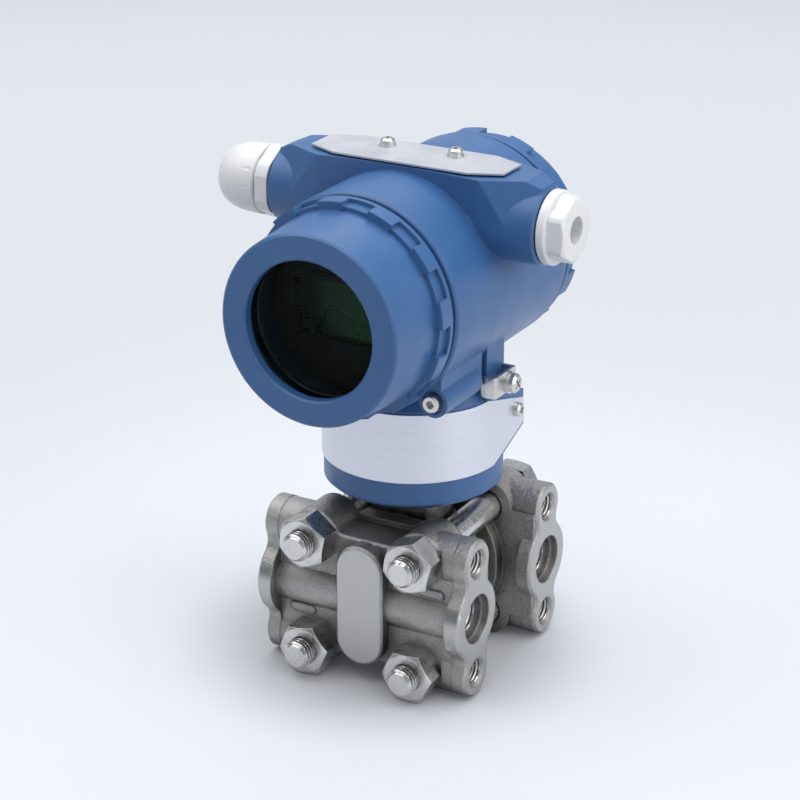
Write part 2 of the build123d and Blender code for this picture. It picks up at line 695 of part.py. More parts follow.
def flange_seals():
    """One sealing ring in each side of the cell."""
    middle = CELL_FACE - SEAL_SECTION_R + CELL_FACE_GAP / 2
    return [ring_y(SEAL_RING_R, SEAL_SECTION_R, side * middle, 0) for side in (-1, 1)]


def isolating_diaphragms():
    """A thin waved disc in each side of the cell."""
    seat = CELL_FACE - DIAPHRAGM_RECESS + CELL_FACE_GAP
    step = (DIAPHRAGM_R - DIAPHRAGM_FLAT_R) / (2 * DIAPHRAGM_WAVES)
    front = [(0, seat)]
    for index in range(2 * DIAPHRAGM_WAVES + 1):
        front.append((DIAPHRAGM_FLAT_R + step * index, seat + DIAPHRAGM_WAVE * (index % 2)))
    outline = front + [(r, y + DIAPHRAGM_T) for r, y in reversed(front)]
    disc = turned_y(outline)
    return [disc, mirror(disc, Plane.XZ)]


def sensor_neck():
    """The turned neck that carries the head, with a shoulder and a ring groove."""
    groove = NECK_GROOVE_Z
    half = NECK_GROOVE_DEPTH * 0.75
    wide = SET_GROOVE_HALF
    narrow = SET_GROOVE_HALF - SET_GROOVE_SLOPE
    outline = (
        (0, SHOULDER_BOTTOM),
        (SHOULDER_R - SHOULDER_EDGE, SHOULDER_BOTTOM),
        (SHOULDER_R, SHOULDER_BOTTOM + SHOULDER_EDGE),
        (SHOULDER_R, SHOULDER_TOP),
        (NECK_R, SHOULDER_TOP),
        (NECK_R, SET_SCREW_Z - wide),
        (NECK_R - SET_GROOVE_DEPTH, SET_SCREW_Z - narrow),
        (NECK_R - SET_GROOVE_DEPTH, SET_SCREW_Z + narrow),
        (NECK_R, SET_SCREW_Z + wide),
        (NECK_R, groove - half),
        (NECK_R - NECK_GROOVE_DEPTH, groove - half),
        (NECK_R - NECK_GROOVE_DEPTH, groove + half),
        (NECK_R, groove + half),
        (NECK_R, NECK_TOP - NECK_EDGE),
        (NECK_R - NECK_EDGE, NECK_TOP),
        (0, NECK_TOP),
    )
    return turned_z(outline)


def neck_seal():
    """The ring in the neck's groove."""
    height = NECK_GROOVE_Z
    room = NECK_GROOVE_DEPTH + TURN_GAP
    inner = NECK_R - NECK_GROOVE_DEPTH + NECK_SEAL_GAP
    outer = NECK_R + TURN_GAP - NECK_SEAL_GAP
    return rod_z(outer, height - room / 2, height + room / 2) - rod_z(inner, height - room, height + room)


# Housing

def barrel_outside():
    """The outside of the round body that both covers screw into."""
    edge = BARREL_EDGE
    outline = (
        (0, BARREL_FRONT),
        (BARREL_R - edge, BARREL_FRONT),
        (BARREL_R, BARREL_FRONT + edge),
        (BARREL_R, BARREL_BACK - edge),
        (BARREL_R - edge, BARREL_BACK),
        (0, BARREL_BACK),
    )
    return turned_y(outline, BARREL_HEIGHT)


def barrel_inside():
    """The two compartments, one each side of the partition."""
    front = (
        (0, BARREL_FRONT - OVER),
        (THREAD_R, BARREL_FRONT - OVER),
        (THREAD_R, BARREL_FRONT + THREAD_LENGTH),
        (BORE_R, BARREL_FRONT + THREAD_LENGTH + THREAD_R - BORE_R),
        (BORE_R, PARTITION_FRONT),
        (0, PARTITION_FRONT),
    )
    back = (
        (0, PARTITION_BACK),
        (BORE_R, PARTITION_BACK),
        (BORE_R, BARREL_BACK - THREAD_LENGTH - THREAD_R + BORE_R),
        (THREAD_R, BARREL_BACK - THREAD_LENGTH),
        (THREAD_R, BARREL_BACK + OVER),
        (0, BARREL_BACK + OVER),
    )
    return [turned_y(front, BARREL_HEIGHT), turned_y(back, BARREL_HEIGHT)]


def half_space(origin, normal):
    """A block on one side of a plane, large enough to cut anything on the conduit box."""
    size = 2 * CONDUIT_FACE
    return Plane(origin=origin, z_dir=normal) * Pos(0, 0, size / 2) * Box(size, size, size)


def facet_cutter(side_x, side_y):
    """A wedge that cuts the corner facet between the box and a conduit boss."""
    long_end = Vector(side_x * BOX_CORNER_X, side_y * BOX_HALF_DEPTH, BOX_TOP)
    short_end = Vector(side_x * BOX_END_X, side_y * BOX_END_HALF, BOX_TOP)
    foot = Vector(side_x * FACET_FOOT_X, side_y * BOX_HALF_DEPTH, FACET_FOOT_Z)
    normal = (short_end - long_end).cross(foot - long_end).normalized()
    outward = Vector(side_x, side_y, 0)
    if normal.dot(outward) < 0:
        normal = normal * -1
    return half_space(long_end, normal)


def end_cutter(side_x):
    """The sloping cut from the box's narrow end down to the conduit boss's top."""
    top = Vector(side_x * BOX_END_X, 0, BOX_TOP)
    foot = Vector(side_x * CONDUIT_FACE, 0, CONDUIT_HEIGHT + CONDUIT_R)
    along = (foot - top).normalized()
    return half_space(top, Vector(-along.Z * side_x, 0, along.X * side_x))


def conduit_boss():
    """The two conduit bosses as one round bar, with the machined edges of its ends."""
    face, edge = CONDUIT_FACE, CONDUIT_EDGE
    outline = (
        (0, -face),
        (CONDUIT_R - edge, -face),
        (CONDUIT_R, -face + edge),
        (CONDUIT_R, face - edge),
        (CONDUIT_R - edge, face),
        (0, face),
    )
    return turned_x(outline, CONDUIT_HEIGHT)


def conduit_box():
    """The box over the barrel that joins the two conduit bosses."""
    half = BOX_HALF_DEPTH
    end = CONDUIT_FACE - CONDUIT_EDGE
    box = block(-end, end, -half, half, CONDUIT_HEIGHT, BOX_TOP)
    dish_r = (BOX_CORNER_X ** 2 + BOX_WAIST ** 2) / (2 * BOX_WAIST)
    for side_y in (-1, 1):
        dish = rod_z(dish_r, BARREL_HEIGHT, BOX_TOP + OVER, 0, side_y * (half - BOX_WAIST + dish_r))
        box -= dish
    for side_x in (-1, 1):
        box -= end_cutter(side_x)
        for side_y in (-1, 1):
            box -= facet_cutter(side_x, side_y)
    return box + conduit_boss()


def lock_boss():
    """The round boss that holds the cover's lock screw, and the web that runs back from it."""
    boss = rod_y(LOCK_BOSS_R, LOCK_FACE, LOCK_BOSS_BACK, LOCK_X, LOCK_Z)
    foot = LOCK_Z - LOCK_WEB_DROP
    web_back = CLAMP_FRONT - LOCK_WEB_GAP
    return boss + block(LOCK_X, COLLAR_R, LOCK_FACE, web_back, foot, SIDE_PAD_TOP)


def collar():
    """The round lower part of the head, which sits on the sensor's neck."""
    edge = COLLAR_EDGE
    inside = BARREL_HEIGHT - BORE_R + WIRE_HOLE_WALL
    outline = (
        (0, COLLAR_BOTTOM),
        (COLLAR_R - edge, COLLAR_BOTTOM),
        (COLLAR_R, COLLAR_BOTTOM + edge),
        (COLLAR_R, COLLAR_SHOULDER),
        (NECK_CONE_R, NECK_CONE_TOP),
        (NECK_CONE_R, inside),
        (0, inside),
    )
    return turned_z(outline)


def side_pads():
    """The flat pads on both sides: an upright one, and one behind each nameplate tab."""
    half = SIDE_PAD_WIDTH / 2
    upright = block(TAB_PAD_INNER, COLLAR_R, -half, half, NAMEPLATE_TOP + SIDE_PAD_GAP, SIDE_PAD_TOP)
    tab = prism_x(on_collar(TAB_PAD_OUTLINE), TAB_PAD_INNER, COLLAR_R)
    pads = []
    for pad in (upright, tab):
        pads += [pad, mirror(pad, Plane.YZ)]
    return pads


def screw_hole(radius):
    """The radius of a hole that a screw's thread fills."""
    return radius + SCREW_HOLE_GAP


def housing():
    """The cast head: barrel, conduit box, collar, pads and bosses in one piece."""
    body = barrel_outside() + conduit_box()
    body += collar()
    body += side_pads()
    body += lock_boss()
    body -= barrel_inside()
    for side in (-1, 1):
        mouth = side * (CONDUIT_FACE + OVER)
        body -= rod_x(CONDUIT_BORE_R, mouth, side * CONDUIT_BORE_END, 0, CONDUIT_HEIGHT)
    body -= rod_z(COLLAR_BORE_R, COLLAR_BOTTOM - OVER, COLLAR_BORE_TOP)
    wires_top = BARREL_HEIGHT - BORE_R + WIRE_HOLE_WALL + OVER
    body -= rod_z(WIRE_HOLE_R, COLLAR_BORE_TOP - OVER, wires_top, 0, PARTITION_FRONT - WIRE_HOLE_Y)
    body -= rod_y(WIRE_SLOT_R, PARTITION_FRONT - OVER, PARTITION_BACK + OVER, 0, WIRE_HOLE_HEIGHT)
    for x, y in plate_screw_places():
        body += rod_z(WASHER_R, BOX_TOP - PLATE_LIFT, PLATE_BOTTOM - SPACER_GAP, x, y)
        body -= rod_z(screw_hole(SCREW_SHANK_R), BOX_TOP - SCREW_LENGTH, PLATE_BOTTOM + OVER, x, y)
    for x in (-BUTTON_X, BUTTON_X):
        body -= rod_z(BUTTON_R + BUTTON_GAP, BOX_TOP - BUTTON_POCKET_DEPTH, BOX_TOP + OVER, x)
    for side in (-1, 1):
        inner = side * (COLLAR_R - SCREW_LENGTH)
        outer = side * (COLLAR_R + OVER)
        body -= rod_x(screw_hole(SCREW_SHANK_R), inner, outer, TAB_SCREW_Y, TAB_SCREW_Z)
    inner = COLLAR_R - GROUND_SCREW_DEPTH - OVER
    body -= rod_x(screw_hole(GROUND_SHANK_R), inner, COLLAR_R + OVER, GROUND_SCREW_Y, GROUND_SCREW_Z)
    body -= rod_y(LOCK_RECESS_R, BARREL_FRONT - OVER, LOCK_FACE + LOCK_RECESS_DEPTH, LOCK_X, LOCK_Z)
    hole_end = LOCK_BOSS_BACK - LOCK_HOLE_DEPTH
    body -= rod_y(screw_hole(LOCK_SHANK_R), BARREL_FRONT - OVER, hole_end, LOCK_X, LOCK_Z)
    body -= rod_y(screw_hole(SET_SCREW_R), COLLAR_BORE_R - OVER, COLLAR_R + OVER, 0, SET_SCREW_Z)
    return body


# Covers and window

def cover_band(rim, end, toward):
    """The castellated band of a cover, from its rim outwards."""
    rim_back = rim + toward * COVER_RIM_T
    band_end = end - toward * BARREL_EDGE
    band = rod_y(COVER_BAND_R, rim, band_end) - rod_y(COVER_BORE_R, rim, band_end)
    band += turned_y(
        (
            (COVER_BORE_R, rim),
            (COVER_LUG_R - LUG_EDGE, rim),
            (COVER_LUG_R, rim + toward * LUG_EDGE),
            (COVER_LUG_R, rim_back),
            (COVER_BORE_R, rim_back),
        )
    )
    reach = 2 * COVER_LUG_R
    for index in range(LUG_COUNT):
        centre = FIRST_LUG - index * 360 / LUG_COUNT
        sector = [(0.0, 0.0)]
        for edge_angle in (-LUG_ANGLE / 2, 0, LUG_ANGLE / 2):
            angle = math.radians(centre + edge_angle)
            sector.append((reach * math.cos(angle), reach * math.sin(angle)))
        face = make_face(Polyline(*[(x, rim_back, z) for x, z in sector], close=True))
        wedge = extrude(face, abs(end - rim_back), dir=(0, toward, 0))
        lug = rod_y(COVER_LUG_R, rim_back, end) & wedge
        band += lug - rod_y(COVER_BORE_R, rim_back, end)
    return band


def seal_groove(rim, toward):
    """The groove in a cover's rim for its sealing ring."""
    deep = rim + toward * (2 * COVER_SEAL_R - COVER_GAP + 2 * COVER_SEAL_GAP)
    inner = COVER_SEAL_RING_R - COVER_SEAL_R - COVER_SEAL_GAP
    outer = COVER_SEAL_RING_R + COVER_SEAL_R + COVER_SEAL_GAP
    start = rim - toward * OVER
    return turned_y(((inner, start), (outer, start), (outer, deep), (inner, deep)))


def display_cover():
    """The front cover, with its window opening and its threaded skirt."""
    face = COVER_FACE
    lip_back = face + LIP_T
    ledge = GLASS_BACK + FIT
    skirt_end = BARREL_FRONT + SKIRT_LENGTH
    outline = (
        (WINDOW_R + WINDOW_BEVEL, face),
        (COVER_FACE_R - COVER_BEVEL, face),
        (COVER_FACE_R, face + COVER_BEVEL),
        (COVER_BODY_R, COVER_BAND_END),
        (COVER_BODY_R, COVER_RIM),
        (SKIRT_R, COVER_RIM),
        (SKIRT_R, skirt_end - SKIRT_EDGE),
        (SKIRT_R - SKIRT_EDGE, skirt_end),
        (COVER_BORE_R, skirt_end),
        (COVER_BORE_R, ledge),
        (GLASS_R + FIT, ledge),
        (GLASS_R + FIT, lip_back),
        (WINDOW_R, lip_back),
        (WINDOW_R, face + WINDOW_BEVEL),
    )
    cover = turned_y(outline)
    cover += cover_band(COVER_RIM, COVER_BAND_END, -1)
    cover -= seal_groove(COVER_RIM, -1)
    return Pos(0, 0, BARREL_HEIGHT) * cover


def window_gasket():
    """The flat ring between the cover's lip and the glass."""
    start = COVER_FACE + LIP_T
    end = start + GASKET_T
    ring = rod_y(GLASS_R, start, end) - rod_y(WINDOW_R + GASKET_STEP, start, end)
    return Pos(0, 0, BARREL_HEIGHT) * ring


def window_glass():
    """The thick round window."""
    edge = GLASS_EDGE
    outline = (
        (0, GLASS_FRONT),
        (GLASS_R - edge, GLASS_FRONT),
        (GLASS_R, GLASS_FRONT + edge),
        (GLASS_R, GLASS_BACK - edge),
        (GLASS_R - edge, GLASS_BACK),
        (0, GLASS_BACK),
    )
    return turned_y(outline, BARREL_HEIGHT)


def glass_retainer():
    """The screwed ring that holds the glass, with four spanner notches."""
    start = GLASS_BACK + FIT
    end = start + RETAINER_T
    ring = rod_y(RETAINER_R, start, end) - rod_y(RETAINER_BORE_R, start, end)
    for turn in (45, 135):
        notch = Box(2 * (RETAINER_BORE_R + NOTCH_DEPTH), RETAINER_T, NOTCH_WIDTH)
        ring -= Rot(0, turn, 0) * Pos(0, end, 0) * notch
    return Pos(0, 0, BARREL_HEIGHT) * ring


def rear_cover():
    """The blind cover over the terminals."""
    face = REAR_COVER_FACE
    edge = REAR_COVER_EDGE
    floor = face - REAR_COVER_FLOOR
    skirt_end = BARREL_BACK - SKIRT_LENGTH
    outline = (
        (0, face),
        (COVER_BODY_R - edge, face),
        (COVER_BODY_R - edge * 0.3, face - edge * 0.3),
        (COVER_BODY_R, face - edge),
        (COVER_BODY_R, REAR_RIM),
        (SKIRT_R, REAR_RIM),
        (SKIRT_R, skirt_end + SKIRT_EDGE),
        (SKIRT_R - SKIRT_EDGE, skirt_end),
        (COVER_BORE_R, skirt_end),
        (COVER_BORE_R, floor - REAR_COVER_CORNER),
        (COVER_BORE_R - REAR_COVER_CORNER, floor),
        (0, floor),
    )
    cover = turned_y(outline)
    cover += cover_band(REAR_RIM, REAR_BAND_END, 1)
    cover -= seal_groove(REAR_RIM, 1)
    return Pos(0, 0, BARREL_HEIGHT) * cover


def cover_seal(rim, toward):
    """The round ring squeezed between the barrel and a cover's rim."""
    middle = rim - toward * (COVER_GAP - COVER_SEAL_GAP - COVER_SEAL_R)
    return ring_y(COVER_SEAL_RING_R, COVER_SEAL_R, middle, BARREL_HEIGHT)


# Display and electronics

def display_bezel():
    """The round dark mask in front of the display, with its window."""
    half_w = LCD_WIDTH / 2
    half_h = LCD_HEIGHT / 2
    sheet_back = BEZEL_FRONT + BEZEL_SHEET
    bezel = rod_y(BEZEL_R, BEZEL_FRONT, BEZEL_BACK)
    bezel = chamfer(bezel.edges().group_by(Axis.Y)[0], BEZEL_EDGE)
    bezel -= rod_y(BEZEL_R - BEZEL_WALL, sheet_back, BEZEL_BACK + OVER)
    wide = half_w + LCD_FRAME
    high = half_h + LCD_FRAME
    bezel += block(-wide, wide, BEZEL_FRONT - LCD_FRAME_STEP, sheet_back, -high, high)
    bezel -= block(-half_w, half_w, BEZEL_FRONT - OVER, sheet_back + OVER, -half_h, half_h)
    return Pos(0, 0, BARREL_HEIGHT) * bezel


def lcd_panel():
    """The glass display panel behind the bezel's window."""
    half_w = LCD_WIDTH / 2 + LCD_LAP
    half_h = LCD_HEIGHT / 2 + LCD_LAP
    return Pos(0, 0, BARREL_HEIGHT) * block(-half_w, half_w, LCD_FRONT, LCD_FRONT + LCD_T, -half_h, half_h)


def display_board():
    """The round board that carries the display panel."""
    board = rod_y(BOARD_R, BOARD_FRONT, BOARD_FRONT + BOARD_T)
    riser_top = LCD_FRONT + LCD_T + TOUCH
    board += block(-BOARD_BLOCK_X, BOARD_BLOCK_X, riser_top, BOARD_FRONT, -BOARD_BLOCK_Z, BOARD_BLOCK_Z)
    return Pos(0, 0, BARREL_HEIGHT) * board


def electronics_module():
    """The potted cup with the transmitter's electronics, bolted to the partition."""
    back = MODULE_BACK
    front = back - MODULE_T
    cup = rod_y(MODULE_R, front, back)
    cup = chamfer(cup.edges().group_by(Axis.Y)[0], MODULE_EDGE)
    cup -= rod_y(MODULE_R - MODULE_WALL, front - OVER, front + MODULE_DISH)
    half = WIRE_HOLE_R + OVER
    bottom = -MODULE_R - OVER
    cup -= block(-half, half, front - OVER, back + OVER, bottom, -MODULE_R + MODULE_SLOT_DEPTH)
    return Pos(0, 0, BARREL_HEIGHT) * cup


def display_standoffs():
    """Three spacers between the electronics and the display board."""
    back = MODULE_BACK - MODULE_T + MODULE_DISH - STANDOFF_GAP
    front = BOARD_FRONT + BOARD_T + STANDOFF_GAP
    posts = []
    for angle in STANDOFF_ANGLES:
        x = STANDOFF_RING_R * math.cos(math.radians(angle))
        z = BARREL_HEIGHT + STANDOFF_RING_R * math.sin(math.radians(angle))
        posts.append(rod_y(STANDOFF_R, front, back, x, z))
    return posts


# Terminals

def terminal_places():
    """The terminals' places along X."""
    start = -(TERMINAL_COUNT - 1) / 2
    return [(start + index) * TERMINAL_PITCH for index in range(TERMINAL_COUNT)]


def terminal_block_piece():
    """The moulded block with one bay for each terminal."""
    half_w = TERMINAL_WIDTH / 2
    bottom = TERMINAL_Z - TERMINAL_HEIGHT / 2
    top = TERMINAL_Z + TERMINAL_HEIGHT / 2
    body = block(-half_w, half_w, TERMINAL_BACK, TERMINAL_TOP, bottom, top)
    body = chamfer(body.edges().filter_by(Axis.Y), TERMINAL_EDGE)
    floor = TERMINAL_TOP - TERMINAL_SLOT_DEPTH
    half = TERMINAL_SLOT / 2
    for x in terminal_places():
        body -= block(x - half, x + half, floor, TERMINAL_TOP + OVER, bottom + TERMINAL_SILL, top + OVER)
        body -= rod_y(screw_hole(SCREW_SHANK_R), floor - TERMINAL_HOLE_DEPTH, TERMINAL_TOP, x, TERMINAL_Z)
    return body


def terminal_screws():
    """One clamping screw with a square washer for each terminal."""
    seat = TERMINAL_TOP - TERMINAL_SLOT_DEPTH + SEAT_GAP + TERMINAL_WASHER_T
    square = Pos(0, 0, -TERMINAL_WASHER_T / 2) * Box(TERMINAL_WASHER, TERMINAL_WASHER, TERMINAL_WASHER_T)
    screw = cross_screw(TERMINAL_SCREW_R, TERMINAL_SCREW_T, SCREW_SHANK_R, TERMINAL_SCREW_LENGTH) + square
    return [Location((x, seat, TERMINAL_Z), (-90, 0, 0)) * screw for x in terminal_places()]


# Plates, buttons and small screws

def plate_screw_places():
    """The top plate's two screws as (x, y)."""
    return [(-PLATE_SCREW_X, PLATE_SCREW_Y), (PLATE_SCREW_X, PLATE_SCREW_Y)]


def top_plate():
    """The long thin plate on the conduit box, left bare."""
    outline = octagon(PLATE_HALF, PLATE_END_HALF, PLATE_SIDE_HALF, PLATE_HALF_DEPTH)
    plate = prism_z(outline, PLATE_BOTTOM, PLATE_TOP)
    for x, y in plate_screw_places():
        plate -= rod_z(SCREW_SHANK_R + SCREW_SLACK, PLATE_BOTTOM - OVER, PLATE_TOP + OVER, x, y)
    return plate


def washer(radius, bore, thickness):
    """A flat washer that stands on zero."""
    return extrude(Circle(radius) - Circle(bore), thickness)


def top_plate_washers():
    """The washers under the top plate's screws."""
    ring = washer(WASHER_R, SCREW_SHANK_R + WASHER_SLACK, WASHER_T)
    return [Pos(x, y, PLATE_TOP) * ring for x, y in plate_screw_places()]


def top_plate_screws():
    """The top plate's two cross screws."""
    seat = PLATE_TOP + WASHER_T
    screw = cross_screw(SCREW_HEAD_R, SCREW_HEAD_T, SCREW_SHANK_R, SCREW_LENGTH)
    screw = Rot(0, 0, PLATE_SCREW_TURN) * screw
    return [Pos(x, y, seat) * screw for x, y in plate_screw_places()]


def adjust_button(x):
    """A push button in its pocket under the top plate."""
    top = BOX_TOP - BUTTON_SINK
    cap = rod_z(BUTTON_R, top - BUTTON_T, top, x)
    cap = chamfer(cap.edges().group_by(Axis.Z)[-1], BUTTON_EDGE)
    stem_end = BOX_TOP - BUTTON_POCKET_DEPTH + BUTTON_TRAVEL + BUTTON_FLOOR_GAP
    return cap + rod_z(BUTTON_STEM_R, stem_end, top - BUTTON_T, x)


def nameplate():
    """The sheet wrapped round the collar's front, with a flat tab at each end, left bare."""
    inner = NAMEPLATE_INNER_R
    outer = inner + NAMEPLATE_T
    tall = (NAMEPLATE_BOTTOM - OVER, SIDE_PAD_TOP)
    wrap = rod_z(outer, *tall) - rod_z(inner, *tall)
    wrap &= block(-outer, outer, -outer, 0, *tall)
    for side in (-1, 1):
        wrap += block(side * inner, side * outer, 0, TAB_END, *tall)
    front = -outer - OVER
    tab = on_collar(TAB_OUTLINE)
    side_view = [(front, NAMEPLATE_BOTTOM), *tab, (TAB_START, NAMEPLATE_TOP), (front, NAMEPLATE_TOP)]
    sheet = wrap & prism_x(side_view, front, -front)
    for side in (-1, 1):
        hole_in = side * (inner - OVER)
        hole_out = side * (outer + OVER)
        sheet -= rod_x(SCREW_SHANK_R + SCREW_SLACK, hole_in, hole_out, TAB_SCREW_Y, TAB_SCREW_Z)
    return sheet


def nameplate_screws():
    """The cross screws through the nameplate's tabs."""
    seat = NAMEPLATE_INNER_R + NAMEPLATE_T + SEAT_GAP
    screw = cross_screw(SCREW_HEAD_R, SCREW_HEAD_T, SCREW_SHANK_R, SCREW_LENGTH)
    screw = Rot(0, 0, TAB_SCREW_TURN) * screw
    right = Location((seat, TAB_SCREW_Y, TAB_SCREW_Z), (0, 90, 0)) * screw
    return [right, mirror(right, Plane.YZ)]


# Cable gland and conduit plug

def conduit_washers():
    """The flat seals between the conduit faces and what is screwed into them."""
    outside = PLUG_DISC_R - CONDUIT_WASHER_T
    ring = washer(outside, CONDUIT_BORE_R, CONDUIT_WASHER_T - 2 * CONDUIT_WASHER_GAP)
    right = Location((CONDUIT_FACE + CONDUIT_WASHER_GAP, 0, CONDUIT_HEIGHT), (0, 90, 0)) * ring
    return [right, mirror(right, Plane.YZ)]


def gland_body():
    """The cable gland's body: hexagon, threaded tail and threaded nose with a bore."""
    hexagon = extrude(RegularPolygon(GLAND_HEX_AF / 2, 6, major_radius=False), GLAND_BODY_T)
    hexagon &= extrude(Circle(GLAND_CORNER_R), GLAND_BODY_T)
    nose_end = GLAND_BODY_T + GLAND_THREAD_LENGTH
    body = hexagon + rod_z(GLAND_TAIL_R, -GLAND_TAIL_LENGTH, 0)
    body += rod_z(GLAND_THREAD_R, 0, nose_end)
    body -= rod_z(GLAND_BORE_R, -GLAND_TAIL_LENGTH - OVER, nose_end + OVER)
    return Location((GLAND_FACE, 0, CONDUIT_HEIGHT), (0, -90, 0)) * body


def gland_nut():
    """The gland's domed nut, with shallow grip ribs."""
    length = GLAND_NUT_LENGTH
    bore = GLAND_THREAD_R + THREAD_GAP
    cone = length - GLAND_MOUTH_LENGTH
    seat = cone - GLAND_CONE_LENGTH
    dome = [(GLAND_NUT_R - drop, length * share) for drop, share in GLAND_DOME]
    outline = [(bore, 0), (GLAND_NUT_R - GLAND_NUT_EDGE, 0), (GLAND_NUT_R, GLAND_NUT_EDGE)] + dome
    outline += [(GLAND_NUT_TIP_R, length), (GLAND_NUT_MOUTH_R, length), (GLAND_NUT_MOUTH_R, cone)]
    outline += [(GLAND_SEAL_R, seat), (bore, seat - GLAND_RELIEF_LENGTH)]
    nut = revolve(make_face(Polyline(*[(r, 0, z) for r, z in outline], close=True)), Axis.Z, 360)
    for index in range(GLAND_RIBS):
        flute = rod_z(GLAND_RIB_R, length * 0.1, length * 0.6, GLAND_NUT_R + GLAND_RIB_STAND)
        nut -= Rot(0, 0, index * 360 / GLAND_RIBS) * flute
    return Location((GLAND_NUT_START, 0, CONDUIT_HEIGHT), (0, -90, 0)) * nut


def gland_seal():
    """The rubber sleeve that the gland's nut closes on the cable."""
    start = GLAND_FACE - GLAND_BODY_T - GLAND_SEAL_SINK
    end = GLAND_NUT_END + GLAND_SEAL_STOP
    sleeve = rod_x(GLAND_SEAL_R, start, end, 0, CONDUIT_HEIGHT)
    return sleeve - rod_x(GLAND_SEAL_BORE_R, start + OVER, end - OVER, 0, CONDUIT_HEIGHT)


def conduit_plug():
    """The plug in the unused conduit: disc, hexagon and a round socket."""
    body = extrude(Circle(PLUG_DISC_R), PLUG_DISC_T)
    body = chamfer(body.edges().group_by(Axis.Z)[-1], PLUG_DISC_EDGE)
    body += hexagon_bar(PLUG_HEX_AF, PLUG_LENGTH) & extrude(Circle(PLUG_CORNER_R), PLUG_LENGTH)
    body += rod_z(GLAND_TAIL_R, -GLAND_TAIL_LENGTH, 0)
    body -= rod_z(PLUG_HOLE_R, PLUG_LENGTH - PLUG_HOLE_DEPTH, PLUG_LENGTH + OVER)
    return Location((PLUG_FACE, 0, CONDUIT_HEIGHT), (0, 90, 0)) * body


# Ground clamp and lock screws

def ground_clamp():
    """The bent strip that clamps an earth wire on the right side pad."""
    inner = COLLAR_R + CLAMP_STAND
    outer = CLAMP_OUTER
    z0 = CLAMP_Z - CLAMP_WIDTH / 2
    z1 = CLAMP_Z + CLAMP_WIDTH / 2
    front = CLAMP_FRONT
    leg = block(COLLAR_R - CLAMP_LEG_SINK, outer, front, front + CLAMP_T, z0, z1)
    corners = leg.edges().filter_by(Axis.Y).group_by(Axis.X)[0]
    strip = block(inner, outer, front, front + CLAMP_ARM, z0, z1) + fillet(corners, CLAMP_EDGE)
    strip = fillet(strip.edges().filter_by(Axis.Z).sort_by_distance((outer, front, CLAMP_Z))[0], CLAMP_EDGE)
    hook = front + CLAMP_ARM
    strip += block(COLLAR_R + TOUCH, outer, hook - CLAMP_T, hook, z0, z1)
    hole = GROUND_SHANK_R + SCREW_SLACK
    strip -= rod_x(hole, inner - OVER, outer + OVER, GROUND_SCREW_Y, GROUND_SCREW_Z)
    return strip


def ground_washer():
    """The washer between the ground screw's head and the strip."""
    ring = washer(GROUND_WASHER_R, GROUND_SHANK_R + SCREW_SLACK, GROUND_WASHER_T)
    return Location((CLAMP_OUTER + SEAT_GAP, GROUND_SCREW_Y, GROUND_SCREW_Z), (0, 90, 0)) * ring


def ground_screw():
    """The ground clamp's cross screw."""
    seat = CLAMP_OUTER + GROUND_WASHER_T + 2 * SEAT_GAP
    length = seat - COLLAR_R + GROUND_SCREW_DEPTH
    screw = Rot(0, 0, GROUND_SCREW_TURN) * cross_screw(GROUND_HEAD_R, GROUND_HEAD_T, GROUND_SHANK_R, length)
    return Location((seat, GROUND_SCREW_Y, GROUND_SCREW_Z), (0, 90, 0)) * screw


def cover_lock_screw():
    """The socket head screw that locks the display cover."""
    head = extrude(Circle(LOCK_HEAD_R), LOCK_HEAD_T)
    head = chamfer(head.edges().group_by(Axis.Z)[-1], LOCK_HEAD_EDGE)
    socket = extrude(RegularPolygon(LOCK_SOCKET_R, 6, major_radius=False), LOCK_SOCKET_DEPTH)
    head -= Pos(0, 0, LOCK_HEAD_T - LOCK_SOCKET_DEPTH) * socket
    screw = head + rod_z(LOCK_SHANK_R, -LOCK_SHANK_LENGTH, 0)
    seat = LOCK_FACE + LOCK_RECESS_DEPTH - SEAT_GAP
    return Location((LOCK_X, seat, LOCK_Z), (90, 0, 0)) * screw


def rotation_set_screw():
    """The socket set screw at the back of the collar that stops the head turning."""
    tip = COLLAR_BORE_R + SET_SCREW_TIP_GAP
    end = COLLAR_R - SET_SCREW_SINK
    screw = rod_y(SET_SCREW_R, tip, end, 0, SET_SCREW_Z)
    socket = extrude(RegularPolygon(SET_SOCKET_R, 6, major_radius=False), SET_SOCKET_DEPTH + OVER)
    return screw - Location((0, end - SET_SOCKET_DEPTH, SET_SCREW_Z), (-90, 0, 0)) * socket


